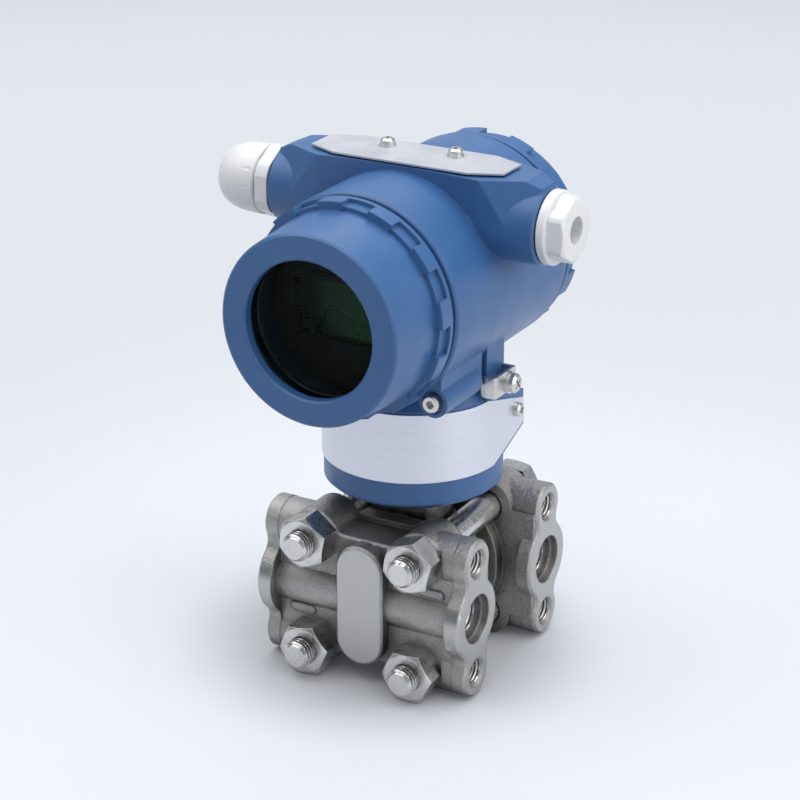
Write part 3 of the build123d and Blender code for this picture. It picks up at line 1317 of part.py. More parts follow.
def build():
    """Every piece by its node's name."""
    flange = front_flange()
    return {
        "front_flange": flange,
        "rear_flange": mirror(flange, Plane.XZ),
        "clamp_bolts": clamp_bolts(),
        "clamp_nuts": clamp_nuts(),
        "sensor_cell": sensor_cell(),
        "flange_seals": flange_seals(),
        "isolating_diaphragms": isolating_diaphragms(),
        "sensor_neck": sensor_neck(),
        "neck_seal": neck_seal(),
        "housing": housing(),
        "display_cover": display_cover(),
        "window_gasket": window_gasket(),
        "window_glass": window_glass(),
        "glass_retainer": glass_retainer(),
        "front_cover_seal": cover_seal(COVER_RIM, -1),
        "rear_cover": rear_cover(),
        "rear_cover_seal": cover_seal(REAR_RIM, 1),
        "display_bezel": display_bezel(),
        "lcd_panel": lcd_panel(),
        "display_board": display_board(),
        "display_standoffs": display_standoffs(),
        "electronics_module": electronics_module(),
        "terminal_block": terminal_block_piece(),
        "terminal_screws": terminal_screws(),
        "top_plate": top_plate(),
        "top_plate_washers": top_plate_washers(),
        "top_plate_screws": top_plate_screws(),
        "span_button": adjust_button(-BUTTON_X),
        "zero_button": adjust_button(BUTTON_X),
        "nameplate": nameplate(),
        "nameplate_screws": nameplate_screws(),
        "conduit_washers": conduit_washers(),
        "gland_body": gland_body(),
        "gland_nut": gland_nut(),
        "gland_seal": gland_seal(),
        "conduit_plug": conduit_plug(),
        "ground_clamp": ground_clamp(),
        "ground_washer": ground_washer(),
        "ground_screw": ground_screw(),
        "cover_lock_screw": cover_lock_screw(),
        "rotation_set_screw": rotation_set_screw(),
    }


def main():
    os.makedirs("parts", exist_ok=True)
    to_origin = Pos(-ORIGIN.X, -ORIGIN.Y, -ORIGIN.Z)
    for name, shape in build().items():
        solids = shape if isinstance(shape, list) else [shape]
        placed = [to_origin * solid for solid in solids]
        piece = placed[0] if len(placed) == 1 else Compound(children=placed)
        piece.label = name
        export_step(piece, f"parts/{name}.step")


main()
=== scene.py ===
import json
import math
import bpy
from mathutils import Matrix, Vector


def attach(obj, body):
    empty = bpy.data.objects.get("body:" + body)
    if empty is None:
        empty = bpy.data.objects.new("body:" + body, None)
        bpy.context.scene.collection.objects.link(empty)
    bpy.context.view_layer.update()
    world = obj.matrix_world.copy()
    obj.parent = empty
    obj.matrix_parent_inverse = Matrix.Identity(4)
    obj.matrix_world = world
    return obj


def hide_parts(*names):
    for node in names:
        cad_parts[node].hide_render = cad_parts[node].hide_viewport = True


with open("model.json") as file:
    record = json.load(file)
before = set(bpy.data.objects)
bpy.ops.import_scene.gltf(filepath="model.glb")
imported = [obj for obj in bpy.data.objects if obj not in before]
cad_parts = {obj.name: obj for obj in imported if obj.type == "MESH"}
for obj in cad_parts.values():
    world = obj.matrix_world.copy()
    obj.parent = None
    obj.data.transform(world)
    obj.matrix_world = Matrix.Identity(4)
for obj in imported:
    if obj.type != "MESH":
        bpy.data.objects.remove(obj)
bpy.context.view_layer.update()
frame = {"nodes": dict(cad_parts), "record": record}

NODES = frame["nodes"]
MM = 0.001

# Lengths of the object are millimetres in the part's own drawing frame, which has its zero on the
# neck's axis at the ports' height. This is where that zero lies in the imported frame.
ZERO = Vector((7.0, 4.8, 29.95))

# Camera, fitted to the photograph
CAMERA_AZIMUTH = math.radians(29.21)
CAMERA_ELEVATION = math.radians(21.98)
CAMERA_ROLL = math.radians(0.13)
CAMERA_DISTANCE = 834.38
AIM_ACROSS = -4.81
AIM_HEIGHT = 63.14
FOCAL_LENGTH_PIXELS = 2398.86
PHOTO_WIDTH_PIXELS = 800
SENSOR_WIDTH = 36.0

# Flanges
BOLT_SPACING = 41.3
PORT_SPACING = 54.0
END_X = 40.0                # the machined end faces
WEB_FRONT = 33.7            # the nuts' seats, from the middle
PAD_FRONT = 39.0            # the machined oval pads
PITCH_HALF = BOLT_SPACING / 2
PORT_Y = PORT_SPACING / 2

# Threads in the ports and the small holes. Each starts at a depth below the end face.
PORT_THREAD_DEPTH = 4.9
PORT_THREAD = {"length": 12.0, "pitch": 1.41, "root": 6.58, "crest": 5.85}
HOLE_THREAD_DEPTH = 1.0
HOLE_THREAD = {"length": 11.6, "pitch": 1.27, "root": 4.43, "crest": 3.95}
THREAD_ROWS_PER_TURN = 8
THREAD_STEPS = 40

# A tooth's height over its turn, as (height at the middle, fall from the middle), cut off at 0 and 1
CUT_TOOTH = (1.6, 4.2)
ROLLED_TOOTH = (1.35, 3.2)

# Clamp bolts
BOLT_R = 5.2
BOLT_ROOT_R = 4.25
BOLT_TIP_R = 3.9
BOLT_PITCH = 1.5
BOLT_THREAD_LENGTH = 15.0
BOLT_THREAD_ROWS = 100
BOLT_SHOWS = 5.2            # how far the bolts' ends stand out of the nuts
NUT_T = 9.0
HEAD_T = 7.4
HEAD_AF = 17.0
HEAD_FLAT_SHARE = 0.97      # the round flat on a head's top, as a share of its width
HEAD_CHAMFER = math.radians(30)
BOLT_STEPS = 48
BOLT_CREASE = math.radians(32)
BOLT_END = WEB_FRONT + NUT_T + BOLT_SHOWS

# Degrees each bolt head is turned. A lower head has no corner straight down, and clears the floor.
HEAD_TURNS = (24, 15, 33, 26)

# Where the bolts' shanks are: inside the small holes' threads, and above or below the ports' threads
SHANK_OUTER_X = 26.5
SHANK_INNER_Z = 12.0

# Rims of the oval patches on the castings
MARK_X = 25.5
MARK_Z = 8.9
MARK_LENGTH = 10.5
MARK_WIDTH = 3.8
RIM_R = 1.5
RIM_LIFT = 0.30
RIM_HALF_WIDTH = 0.3
RIM_HALF_HEIGHT = 0.32
RIM_STEPS = 48
RIM_SECTION = 8

TOP_PLATE_ABOVE = 110       # the nameplate is below this height, and the top plate above it
LCD_HALF_WIDTH = 17

# Stage, in metres
SHEET_FRONT = -3.0
SHEET_HALF_WIDTH = 4.0
SHEET_TOP = 4.0
CURVE_START = 1.2
CURVE_R = 0.8
CURVE_STEPS = 12
SHEET_COLOUR = (0.54, 0.555, 0.58, 1)

# The sheet's own glow: distance from the object's middle in metres, and strength. It is least beside the
# object, which paints a darker shadow round the object's foot on the sheet.
GLOW = ((0.04, 0.03), (0.085, 0.27), (0.33, 0.14), (1.0, 0.28))
GLOW_COLOUR = (0.90, 0.96, 1.07, 1)

# Light. The camera sees the world in the sheet's far tone, past the sheet's edges.
WORLD_LIGHT = (0.232, 0.240, 0.256, 1)
WORLD_SEEN = (0.39, 0.415, 0.47, 1)
LAMP_AIM = Vector((0, 0, 0.09))
LAMPS = {
    # name: (place, size, power in watts)
    "top": ((-0.1, 0.05, 1.25), (1.8, 1.8), 22),
    "left": ((-0.9, -0.6, 0.95), (0.8, 0.8), 2.2),
    "right": ((1.1, 0.0, 0.5), (1.4, 1.2), 8.5),
}


def at(x, y, z):
    """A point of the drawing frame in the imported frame, in metres."""
    return (Vector((x, y, z)) + ZERO) * MM


def add_to_scene(name, data):
    thing = bpy.data.objects.new(name, data)
    bpy.context.scene.collection.objects.link(thing)
    return thing


# Camera

def make_camera():
    level = Vector((math.cos(CAMERA_AZIMUTH), math.sin(CAMERA_AZIMUTH), 0))
    flat = math.cos(CAMERA_ELEVATION)
    back = Vector((math.sin(CAMERA_AZIMUTH) * flat, -math.cos(CAMERA_AZIMUTH) * flat,
                   math.sin(CAMERA_ELEVATION)))
    upright = back.cross(level)
    right = level * math.cos(CAMERA_ROLL) + upright * math.sin(CAMERA_ROLL)
    up = upright * math.cos(CAMERA_ROLL) - level * math.sin(CAMERA_ROLL)
    aim = Vector((level.x * AIM_ACROSS, level.y * AIM_ACROSS, AIM_HEIGHT))
    data = bpy.data.cameras.new("camera")
    data.sensor_fit = "HORIZONTAL"
    data.sensor_width = SENSOR_WIDTH
    data.lens = FOCAL_LENGTH_PIXELS / PHOTO_WIDTH_PIXELS * SENSOR_WIDTH
    data.clip_start = 0.01
    data.clip_end = 20
    camera = add_to_scene("camera", data)
    matrix = Matrix((right, up, back)).transposed().to_4x4()
    matrix.translation = at(*(aim + back * CAMERA_DISTANCE))
    camera.matrix_world = matrix
    bpy.context.scene.camera = camera


# Materials

class Shade:
    """A node material, built up one node at a time.

    A noise's scale is in cells to the metre. Noise is seldom outside SPREAD, so that range of it
    is what varies a colour or a number.
    """

    SPREAD = (0.3, 0.7)
    SAMPLES = 6

    def __init__(self, name):
        self.material = bpy.data.materials.new(name)
        self.material.use_nodes = True
        self.tree = self.material.node_tree
        self.nodes = self.tree.nodes
        self.bsdf = self.nodes["Principled BSDF"]
        self.coords = self.node("ShaderNodeTexCoord").outputs["Object"]

    def node(self, kind, **values):
        made = self.nodes.new(kind)
        for key, value in values.items():
            setattr(made, key, value)
        return made

    def link(self, output, socket):
        self.tree.links.new(output, socket)

    def feed(self, socket, value):
        """Link a socket, or set it to a number or colour."""
        if hasattr(value, "is_output"):
            self.link(value, socket)
        elif isinstance(value, tuple) and len(value) == 3:
            socket.default_value = (*value, 1.0)
        else:
            socket.default_value = value

    def set(self, **values):
        """Set the shader's own sockets. An underscore stands for a space in a socket's name."""
        for key, value in values.items():
            self.feed(self.bsdf.inputs[key.replace("_", " ")], value)

    def noise(self, scale, detail=3, roughness=0.55, stretch=(1, 1, 1)):
        mapping = self.node("ShaderNodeMapping")
        self.link(self.coords, mapping.inputs["Vector"])
        mapping.inputs["Scale"].default_value = stretch
        noise = self.node("ShaderNodeTexNoise")
        self.link(mapping.outputs["Vector"], noise.inputs["Vector"])
        noise.inputs["Scale"].default_value = scale
        noise.inputs["Detail"].default_value = detail
        noise.inputs["Roughness"].default_value = roughness
        return noise.outputs["Fac"]

    def spots(self, scale):
        voronoi = self.node("ShaderNodeTexVoronoi")
        self.link(self.coords, voronoi.inputs["Vector"])
        voronoi.inputs["Scale"].default_value = scale
        return voronoi.outputs["Distance"]

    def math(self, operation, a, b=0.0):
        made = self.node("ShaderNodeMath", operation=operation)
        for socket, value in zip(made.inputs, (a, b)):
            self.feed(socket, value)
        return made.outputs[0]

    def between(self, value, low, high, to_low=0.0, to_high=1.0):
        """Carry a value smoothly from one range to another, and hold it at the ends."""
        made = self.node("ShaderNodeMapRange", interpolation_type="SMOOTHSTEP")
        self.feed(made.inputs["Value"], value)
        made.inputs["From Min"].default_value = low
        made.inputs["From Max"].default_value = high
        made.inputs["To Min"].default_value = to_low
        made.inputs["To Max"].default_value = to_high
        return made.outputs["Result"]

    def mix(self, factor, a, b):
        """A colour from a to b as the factor goes from 0 to 1."""
        made = self.node("ShaderNodeMix", data_type="RGBA")
        self.feed(made.inputs["Factor"], factor)
        self.feed(made.inputs["A"], a)
        self.feed(made.inputs["B"], b)
        return made.outputs["Result"]

    def shift(self, factor, a, b):
        """A number from a to b as the factor goes from 0 to 1."""
        return self.math("ADD", a, self.math("MULTIPLY", factor, self.math("SUBTRACT", b, a)))

    def vary(self, noise, low, high):
        """A number that wanders with a noise."""
        return self.between(noise, *self.SPREAD, low, high)

    def mottle(self, noise, dark, light):
        """A colour that wanders with a noise."""
        return self.mix(self.between(noise, *self.SPREAD), dark, light)

    def ramp(self, value, stops):
        """A number read off a curve through stops of (place, number)."""
        made = self.node("ShaderNodeValToRGB")
        self.link(value, made.inputs["Fac"])
        made.color_ramp.interpolation = "EASE"
        elements = made.color_ramp.elements
        elements[0].position = stops[0][0]
        elements[1].position = stops[-1][0]
        for place, _ in stops[1:-1]:
            elements.new(place)
        for element, (place, number) in zip(elements, stops):
            element.color = (number, number, number, 1)
        return made.outputs["Color"]

    def place(self):
        """The surface point's X, Y and Z in the drawing frame, in millimetres."""
        scale = self.node("ShaderNodeVectorMath", operation="MULTIPLY_ADD")
        self.link(self.coords, scale.inputs[0])
        scale.inputs[1].default_value = (1 / MM, 1 / MM, 1 / MM)
        scale.inputs[2].default_value = -ZERO
        split = self.node("ShaderNodeSeparateXYZ")
        self.link(scale.outputs[0], split.inputs[0])
        return split.outputs

    def away(self, axis):
        """The surface point's distance from the middle along an axis, in millimetres."""
        return self.math("ABSOLUTE", self.place()[axis])

    def shade_openness(self, reach):
        """How open the surface is round a point, from 0 in a tight corner to 1 in the open. The materials
        use it to paint shade into corners and thread roots.
        """
        open_sky = self.node("ShaderNodeAmbientOcclusion", samples=self.SAMPLES)
        open_sky.inputs["Distance"].default_value = reach
        return open_sky.outputs["AO"]

    def round_edges(self, radius):
        bevel = self.node("ShaderNodeBevel", samples=self.SAMPLES)
        bevel.inputs["Radius"].default_value = radius
        return bevel.outputs["Normal"]

    def bump(self, height, strength, distance, normal=None):
        made = self.node("ShaderNodeBump")
        self.link(height, made.inputs["Height"])
        made.inputs["Strength"].default_value = strength
        made.inputs["Distance"].default_value = distance
        if normal is not None:
            self.link(normal, made.inputs["Normal"])
        return made.outputs["Normal"]


def blue_paint():
    """Satin powder coat over a casting."""
    s = Shade("blue_paint")
    patches = s.between(s.noise(26, 4), 0.35, 0.65)
    s.set(Base_Color=s.mix(patches, (0.034, 0.116, 0.296), (0.041, 0.129, 0.320)), Metallic=0.0)
    s.set(Specular_IOR_Level=0.5, Coat_Weight=0.15, Coat_Roughness=0.30)
    s.set(Roughness=s.vary(s.noise(90), 0.38, 0.48))
    peel = s.bump(s.noise(420, 2), 0.10, 0.4 * MM, s.round_edges(0.9 * MM))
    s.set(Normal=s.bump(s.noise(1500, 2), 0.06, 0.12 * MM, peel))
    return s.material


def cast_stainless():
    """Blasted stainless casting, with machined end faces and pads, and painted shade in its corners and
    between its parts.
    """
    s = Shade("cast_stainless")
    end = s.between(s.away("X"), END_X - 0.15, END_X - 0.05)
    pad = s.between(s.away("Y"), PAD_FRONT - 0.10, PAD_FRONT - 0.03)
    machined = s.math("MAXIMUM", end, pad)
    grain = s.noise(1500, 4, 0.75)
    cast = s.mottle(grain, (0.30, 0.29, 0.28), (0.56, 0.545, 0.53))
    cast = s.mix(s.between(s.noise(60, 4), 0.3, 0.75), cast, (0.46, 0.445, 0.43))
    # Painted shade: the colour falls to near black in corners and between the flanges, as far as the
    # surface is closed in.
    cast = s.mix(s.between(s.shade_openness(10 * MM), 0.25, 0.95), (0.12, 0.115, 0.11), cast)
    s.set(Base_Color=s.mix(machined, cast, (0.47, 0.465, 0.46)), Metallic=1.0)
    blasted = s.vary(s.noise(300), 0.32, 0.44)
    milled = s.vary(s.noise(700, 2, 0.5, (1, 1, 0.05)), 0.29, 0.33)
    s.set(Roughness=s.shift(machined, blasted, milled))
    pits = s.math("ADD", grain, s.math("MULTIPLY", s.noise(520), 1.2))
    pits = s.math("MULTIPLY", pits, s.between(machined, 0, 1, 1, 0))
    s.set(Normal=s.bump(pits, 0.9, 0.3 * MM, s.round_edges(0.9 * MM)))
    return s.material


def bright_steel():
    """Bright plated or polished steel of screws, nuts and clips."""
    s = Shade("bright_steel")
    s.set(Base_Color=s.mottle(s.noise(140), (0.58, 0.575, 0.57), (0.70, 0.695, 0.685)), Metallic=1.0)
    s.set(Roughness=s.vary(s.noise(500), 0.26, 0.36))
    s.set(Normal=s.bump(s.noise(1200, 2), 0.08, 0.1 * MM, s.round_edges(0.3 * MM)))
    return s.material


def thread_steel():
    """Rolled and cut threads, with painted shade that makes them dark at their roots, and the bolts' plain
    shanks.
    """
    s = Shade("thread_steel")
    beside = s.math("LESS_THAN", s.away("X"), SHANK_OUTER_X)
    above = s.math("GREATER_THAN", s.away("Z"), SHANK_INNER_Z)
    behind = s.math("GREATER_THAN", s.place()["Y"], BOLT_THREAD_LENGTH - BOLT_END)
    shank = s.math("MULTIPLY", s.math("MULTIPLY", beside, above), behind)
    steel = s.mottle(s.noise(160), (0.58, 0.575, 0.57), (0.66, 0.655, 0.645))
    # Painted shade: thread roots and other tight corners go near black, except on the plain shanks.
    unshaded = s.math("MAXIMUM", s.between(s.shade_openness(1.2 * MM), 0.45, 0.95), shank)
    s.set(Base_Color=s.mix(unshaded, (0.035, 0.034, 0.033), steel), Metallic=1.0)
    s.set(Roughness=s.vary(s.noise(500), 0.22, 0.32))
    s.set(Normal=s.bump(s.noise(1200, 2), 0.06, 0.1 * MM))
    return s.material


def machined_steel():
    """Turned stainless steel, a little dull."""
    s = Shade("machined_steel")
    s.set(Base_Color=s.mottle(s.noise(200), (0.42, 0.41, 0.40), (0.52, 0.51, 0.50)), Metallic=1.0)
    s.set(Roughness=s.vary(s.noise(350), 0.28, 0.40))
    tool_marks = s.noise(2000, 2, 0.5, (0.1, 0.1, 4))
    s.set(Normal=s.bump(tool_marks, 0.12, 0.1 * MM, s.round_edges(0.4 * MM)))
    return s.material


def plate_steel():
    """Bare plates of finely brushed sheet metal. The one on top is anodised, and duller."""
    s = Shade("plate_steel")
    top = s.math("GREATER_THAN", s.place()["Z"], TOP_PLATE_ABOVE)
    lines = s.noise(1600, 4, 0.7, (0.04, 0.04, 3))
    brushed = s.mottle(lines, (0.66, 0.68, 0.75), (0.75, 0.77, 0.84))
    anodised = s.mottle(lines, (0.49, 0.51, 0.56), (0.56, 0.58, 0.63))
    s.set(Base_Color=s.mix(top, brushed, anodised), Metallic=s.between(top, 0, 1, 0.85, 0.35))
    s.set(Roughness=s.math("ADD", s.vary(lines, 0.30, 0.42), s.math("MULTIPLY", top, 0.1)))
    s.set(Normal=s.bump(lines, 0.08, 0.08 * MM, s.round_edges(0.3 * MM)))
    return s.material


def white_nylon():
    """Slightly translucent white nylon."""
    s = Shade("white_nylon")
    s.set(Base_Color=s.mottle(s.noise(50), (0.74, 0.75, 0.77), (0.79, 0.795, 0.81)), Metallic=0.0)
    s.set(Subsurface_Weight=0.25, Subsurface_Scale=2 * MM)
    s.set(Roughness=s.vary(s.noise(300), 0.32, 0.44))
    s.set(Normal=s.bump(s.noise(900, 2), 0.05, 0.15 * MM, s.round_edges(0.7 * MM)))
    return s.material


def black_plastic():
    """Matt black moulded plastic."""
    s = Shade("black_plastic")
    s.set(Base_Color=s.mottle(s.noise(300), (0.008, 0.009, 0.010), (0.016, 0.017, 0.018)))
    s.set(Roughness=s.vary(s.noise(600), 0.42, 0.55))
    s.set(Normal=s.bump(s.noise(1800, 2), 0.12, 0.1 * MM, s.round_edges(0.3 * MM)))
    return s.material


def circuit_board():
    """Green solder mask with copper tracks under it."""
    s = Shade("circuit_board")
    tracks = s.between(s.spots(260), 0.02, 0.06)
    s.set(Base_Color=s.mix(tracks, (0.03, 0.20, 0.08), (0.010, 0.085, 0.038)))
    s.set(Coat_Weight=0.3, Coat_Roughness=0.2)
    s.set(Roughness=s.vary(s.noise(200), 0.30, 0.42))
    s.set(Normal=s.bump(tracks, 0.15, 0.1 * MM))
    return s.material


def lcd_glass():
    """A switched-off display, dark grey-green, with painted light that makes it lighter and greener to the
    right.
    """
    s = Shade("lcd_glass")
    # Painted light: the colour grows lighter and greener from left to right.
    across = s.between(s.place()["X"], -LCD_HALF_WIDTH, LCD_HALF_WIDTH)
    s.set(Base_Color=s.mix(across, (0.006, 0.030, 0.006), (0.024, 0.165, 0.012)))
    s.set(Coat_Weight=0.4, Coat_Roughness=0.12)
    s.set(Roughness=s.vary(s.noise(80, 2), 0.25, 0.34))
    return s.material


def window_glass():
    """Thick tinted window glass, coated against reflections."""
    s = Shade("window_glass")
    s.set(Base_Color=s.mottle(s.noise(40, 2), (0.38, 0.48, 0.45), (0.42, 0.52, 0.49)))
    s.set(Transmission_Weight=1.0, IOR=1.12, Roughness=0.0)
    return s.material


def rubber():
    """Matt black rubber."""
    s = Shade("rubber")
    s.set(Base_Color=s.mottle(s.noise(200), (0.012, 0.012, 0.012), (0.024, 0.024, 0.024)))
    s.set(Roughness=s.vary(s.noise(400), 0.58, 0.72))
    s.set(Normal=s.bump(s.noise(1300, 2), 0.15, 0.1 * MM))
    return s.material


MATERIALS = {
    "blue_paint": blue_paint(),
    "cast_stainless": cast_stainless(),
    "bright_steel": bright_steel(),
    "machined_steel": machined_steel(),
    "thread_steel": thread_steel(),
    "plate_steel": plate_steel(),
    "white_nylon": white_nylon(),
    "black_plastic": black_plastic(),
    "circuit_board": circuit_board(),
    "lcd_glass": lcd_glass(),
    "glass": window_glass(),
    "rubber": rubber(),
}


def dress_nodes():
    """Give every carried-over piece the material of its slot."""
    for part in frame["record"]["subparts"]:
        thing = NODES[part["node"]]
        thing.data.materials.clear()
        thing.data.materials.append(MATERIALS[part["material_slot"]])


# Threads, bolts and the castings' marks

def new_piece(name, verts, faces, body, material, crease=None):
    """A mesh piece from points of the drawing frame, which rides on a body."""
    mesh = bpy.data.meshes.new(name)
    mesh.from_pydata([at(*v) for v in verts], [], faces)
    mesh.update()
    piece = add_to_scene(name, mesh)
    mesh.materials.append(MATERIALS[material])
    for face in mesh.polygons:
        face.use_smooth = True
    if crease:
        mesh.set_sharp_from_angle(angle=crease)
    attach(piece, body)
    return piece


def turns(steps):
    """Equal angles all the way round."""
    return [2 * math.pi * step / steps for step in range(steps)]


def rings(rows, steps):
    """Faces between rows of the same number of points, each row closed on itself."""
    faces = []
    for row in range(rows - 1):
        for step in range(steps):
            a = row * steps + step
            b = row * steps + (step + 1) % steps
            faces.append((a, b, b + steps, a + steps))
    return faces


def joined(shapes):
    """Several shapes of points and faces as one."""
    verts, faces = [], []
    for more_verts, more_faces in shapes:
        first = len(verts)
        verts += more_verts
        faces += [tuple(first + index for index in face) for face in more_faces]
    return verts, faces


def held(value):
    """A number held between 0 and 1."""
    return max(0.0, min(1.0, value))


def tooth_height(phase, tooth):
    """How high a thread stands, from 0 at its root to 1 at its crest, at a share of its turn."""
    middle, fall = tooth
    return held(middle - abs(phase % 1.0 - 0.5) * fall)


def inner_thread(mouth, axis, length, pitch, root, crest):
    """A thread inside a hole as one surface, from the hole's mouth in along an axis."""
    axis = Vector(axis)
    side = axis.orthogonal().normalized()
    other = axis.cross(side)
    rows = round(length / pitch * THREAD_ROWS_PER_TURN)
    verts = []
    for row in range(rows + 1):
        along = length * row / rows
        fade = held(min(along, length - along) / pitch)
        for angle in turns(THREAD_STEPS):
            height = tooth_height(along / pitch - angle / (2 * math.pi), CUT_TOOTH) * fade
            radius = root + (crest - root) * height
            out = side * math.cos(angle) + other * math.sin(angle)
            verts.append(Vector(mouth) + axis * along + out * radius)
    return verts, rings(rows + 1, THREAD_STEPS)


def port_threads():
    """Pipe thread in each port and machine thread in each small hole."""
    for side in (-1, 1):
        inward = (-side, 0, 0)
        for y in (-PORT_Y, PORT_Y):
            flange = f"{'rl'[side < 0]}{'fb'[y > 0]}"
            mouth = (side * (END_X - PORT_THREAD_DEPTH), y, 0)
            verts, faces = inner_thread(mouth, inward, **PORT_THREAD)
            new_piece(f"port_thread_{flange}", verts, faces, "sensor", "thread_steel")
            for z in (-PITCH_HALF, PITCH_HALF):
                mouth = (side * (END_X - HOLE_THREAD_DEPTH), y, z)
                verts, faces = inner_thread(mouth, inward, **HOLE_THREAD)
                name = f"hole_thread_{flange}{'du'[z > 0]}"
                new_piece(name, verts, faces, "sensor", "thread_steel")


def bolt_profile(angle):
    """One bolt's radius along its length at an angle round it: tip, thread, then a plain shank."""
    profile = []
    for row in range(BOLT_THREAD_ROWS + 1):
        along = BOLT_THREAD_LENGTH * row / BOLT_THREAD_ROWS
        height = tooth_height(along / BOLT_PITCH - angle / (2 * math.pi), ROLLED_TOOTH)
        fade = min(1.0, (BOLT_THREAD_LENGTH - along) / BOLT_PITCH)
        radius = BOLT_R - (BOLT_R - BOLT_ROOT_R) * (1 - height) * fade
        profile.append((along, min(radius, BOLT_TIP_R + along)))
    profile.append((BOLT_END + WEB_FRONT, BOLT_R))
    return profile


def bolt_shaft(x, z):
    """One bolt's tip, thread and shank."""
    angles = turns(BOLT_STEPS)
    columns = [bolt_profile(angle) for angle in angles]
    rows = len(columns[0])
    verts = []
    for row in range(rows):
        for angle, column in zip(angles, columns):
            along, radius = column[row]
            verts.append((x + radius * math.cos(angle), along - BOLT_END, z + radius * math.sin(angle)))
    tip = len(verts)
    verts.append((x, -BOLT_END, z))
    faces = rings(rows, BOLT_STEPS)
    faces += [(tip, (step + 1) % BOLT_STEPS, step) for step in range(BOLT_STEPS)]
    return verts, faces


def bolt_head(x, z, turn):
    """One bolt's hexagon head, chamfered on its top, and turned by some degrees."""
    flat = HEAD_AF / 2 * HEAD_FLAT_SHARE
    sixth = math.pi / 3
    verts = []
    for level in ("seat", "side", "flat", "middle"):
        for angle in turns(BOLT_STEPS):
            in_side = (angle + sixth / 2) % sixth - sixth / 2
            hexagon = HEAD_AF / 2 / math.cos(in_side)
            drop = max(0.0, hexagon - flat) * math.tan(HEAD_CHAMFER)
            radius, height = {
                "seat": (hexagon, 0.0),
                "side": (hexagon, HEAD_T - drop),
                "flat": (flat, HEAD_T),
                "middle": (0.01, HEAD_T),
            }[level]
            turned = angle + math.radians(turn)
            verts.append((x + radius * math.cos(turned), WEB_FRONT + height, z + radius * math.sin(turned)))
    return verts, rings(4, BOLT_STEPS)


def clamp_bolts():
    """The four clamp bolts, with rolled threads on their ends and hexagon heads behind."""
    shapes = []
    places = [(x, z) for x in (-PITCH_HALF, PITCH_HALF) for z in (-PITCH_HALF, PITCH_HALF)]
    for (x, z), turn in zip(places, HEAD_TURNS):
        shapes += [bolt_shaft(x, z), bolt_head(x, z, turn)]
    verts, faces = joined(shapes)
    piece = new_piece("threaded_bolts", verts, faces, "sensor", "thread_steel", BOLT_CREASE)
    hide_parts("clamp_bolts")


def rim(middle):
    """A raised rim round an oval, from the oval's middle."""
    half_straight = (MARK_LENGTH - MARK_WIDTH) / 2
    verts, faces = [], []
    for step, turn in enumerate(turns(RIM_STEPS)):
        out = Vector((math.cos(turn), 0, math.sin(turn)))
        end = Vector((math.copysign(half_straight, out.x), 0, 0))
        after = (step + 1) % RIM_STEPS
        for part, angle in enumerate(turns(RIM_SECTION)):
            width = out * (RIM_R + RIM_HALF_WIDTH * math.cos(angle))
            height = Vector((0, RIM_HALF_HEIGHT * math.sin(angle), 0))
            verts.append(middle + end + width + height)
            beside = (part + 1) % RIM_SECTION
            faces.append((step * RIM_SECTION + part, step * RIM_SECTION + beside,
                          after * RIM_SECTION + beside, after * RIM_SECTION + part))
    return verts, faces


def mark_rims():
    """A raised rim round each oval patch of the castings, whose middle is bare."""
    for front in (-1, 1):
        for side in (-1, 1):
            middle = Vector((side * MARK_X, front * (WEB_FRONT + RIM_LIFT), side * MARK_Z))
            verts, faces = rim(middle)
            name = f"mark_rim_{'fb'[front > 0]}{'lr'[side > 0]}"
            new_piece(name, verts, faces, "sensor", "cast_stainless")


# Stage and light

def stage_material():
    """A pale seamless sheet that takes shadows and looks evenly lit behind the object."""
    s = Shade("backdrop")
    s.set(Base_Color=SHEET_COLOUR, Roughness=0.9, Specular_IOR_Level=0.1)
    path = s.node("ShaderNodeLightPath").outputs
    seen = s.math("MAXIMUM", path["Is Camera Ray"], path["Is Glossy Ray"])
    seen = s.math("MAXIMUM", seen, path["Is Transmission Ray"])
    distance = s.node("ShaderNodeVectorMath", operation="LENGTH")
    s.link(s.coords, distance.inputs[0])
    glow = s.node("ShaderNodeEmission")
    glow.inputs["Color"].default_value = GLOW_COLOUR
    # The glow is weakest beside the object: a painted shadow round its foot.
    s.link(s.math("MULTIPLY", seen, s.ramp(distance.outputs["Value"], GLOW)), glow.inputs["Strength"])
    both = s.node("ShaderNodeAddShader")
    s.link(s.bsdf.outputs[0], both.inputs[0])
    s.link(glow.outputs[0], both.inputs[1])
    s.link(both.outputs[0], s.nodes["Material Output"].inputs["Surface"])
    return s.material


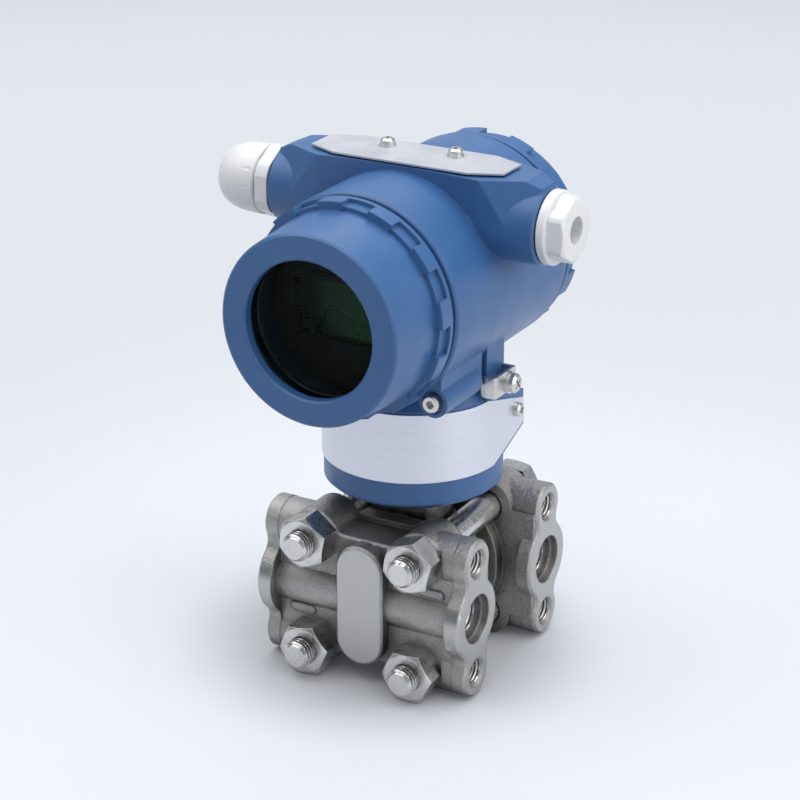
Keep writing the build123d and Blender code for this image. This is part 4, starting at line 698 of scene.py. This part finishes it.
def make_stage():
    """A seamless pale sheet: floor, a wide curve and a back wall, square to the camera."""
    away = Vector((-math.sin(CAMERA_AZIMUTH), math.cos(CAMERA_AZIMUTH), 0))
    right = Vector((math.cos(CAMERA_AZIMUTH), math.sin(CAMERA_AZIMUTH), 0))
    profile = [(SHEET_FRONT, 0.0), (CURVE_START, 0.0)]
    for step in range(1, CURVE_STEPS + 1):
        angle = math.pi / 2 * step / CURVE_STEPS
        profile.append((CURVE_START + CURVE_R * math.sin(angle), CURVE_R - CURVE_R * math.cos(angle)))
    profile.append((CURVE_START + CURVE_R, SHEET_TOP))
    verts = []
    for along, up in profile:
        for across in (-SHEET_HALF_WIDTH, SHEET_HALF_WIDTH):
            verts.append(away * along + right * across + Vector((0, 0, up)))
    faces = [(a, a + 1, a + 3, a + 2) for a in range(0, 2 * len(profile) - 2, 2)]
    mesh = bpy.data.meshes.new("backdrop")
    mesh.from_pydata(verts, [], faces)
    for face in mesh.polygons:
        face.use_smooth = True
    mesh.materials.append(stage_material())
    floor = add_to_scene("backdrop", mesh)


def make_world():
    """Plain light from all round, which the camera sees in the sheet's far tone."""
    world = bpy.data.worlds.new("studio")
    bpy.context.scene.world = world
    world.use_nodes = True
    tree = world.node_tree
    path = tree.nodes.new("ShaderNodeLightPath")
    tone = tree.nodes.new("ShaderNodeMix")
    tone.data_type = "RGBA"
    tree.links.new(path.outputs["Is Camera Ray"], tone.inputs["Factor"])
    tone.inputs["A"].default_value = WORLD_LIGHT
    tone.inputs["B"].default_value = WORLD_SEEN
    sky = tree.nodes["Background"]
    tree.links.new(tone.outputs["Result"], sky.inputs["Color"])
    sky.inputs["Strength"].default_value = 1.0


def make_lamps():
    for name, (place, size, power) in LAMPS.items():
        data = bpy.data.lights.new(name, "AREA")
        data.shape = "RECTANGLE"
        data.size, data.size_y = size
        data.energy = power
        lamp = add_to_scene(name, data)
        lamp.location = place
        lamp.rotation_euler = (LAMP_AIM - Vector(place)).to_track_quat("-Z", "Y").to_euler()


def main():
    make_camera()
    dress_nodes()
    port_threads()
    clamp_bolts()
    mark_rims()
    make_stage()
    make_world()
    make_lamps()
    bpy.context.scene.view_settings.view_transform = "Standard"


main()
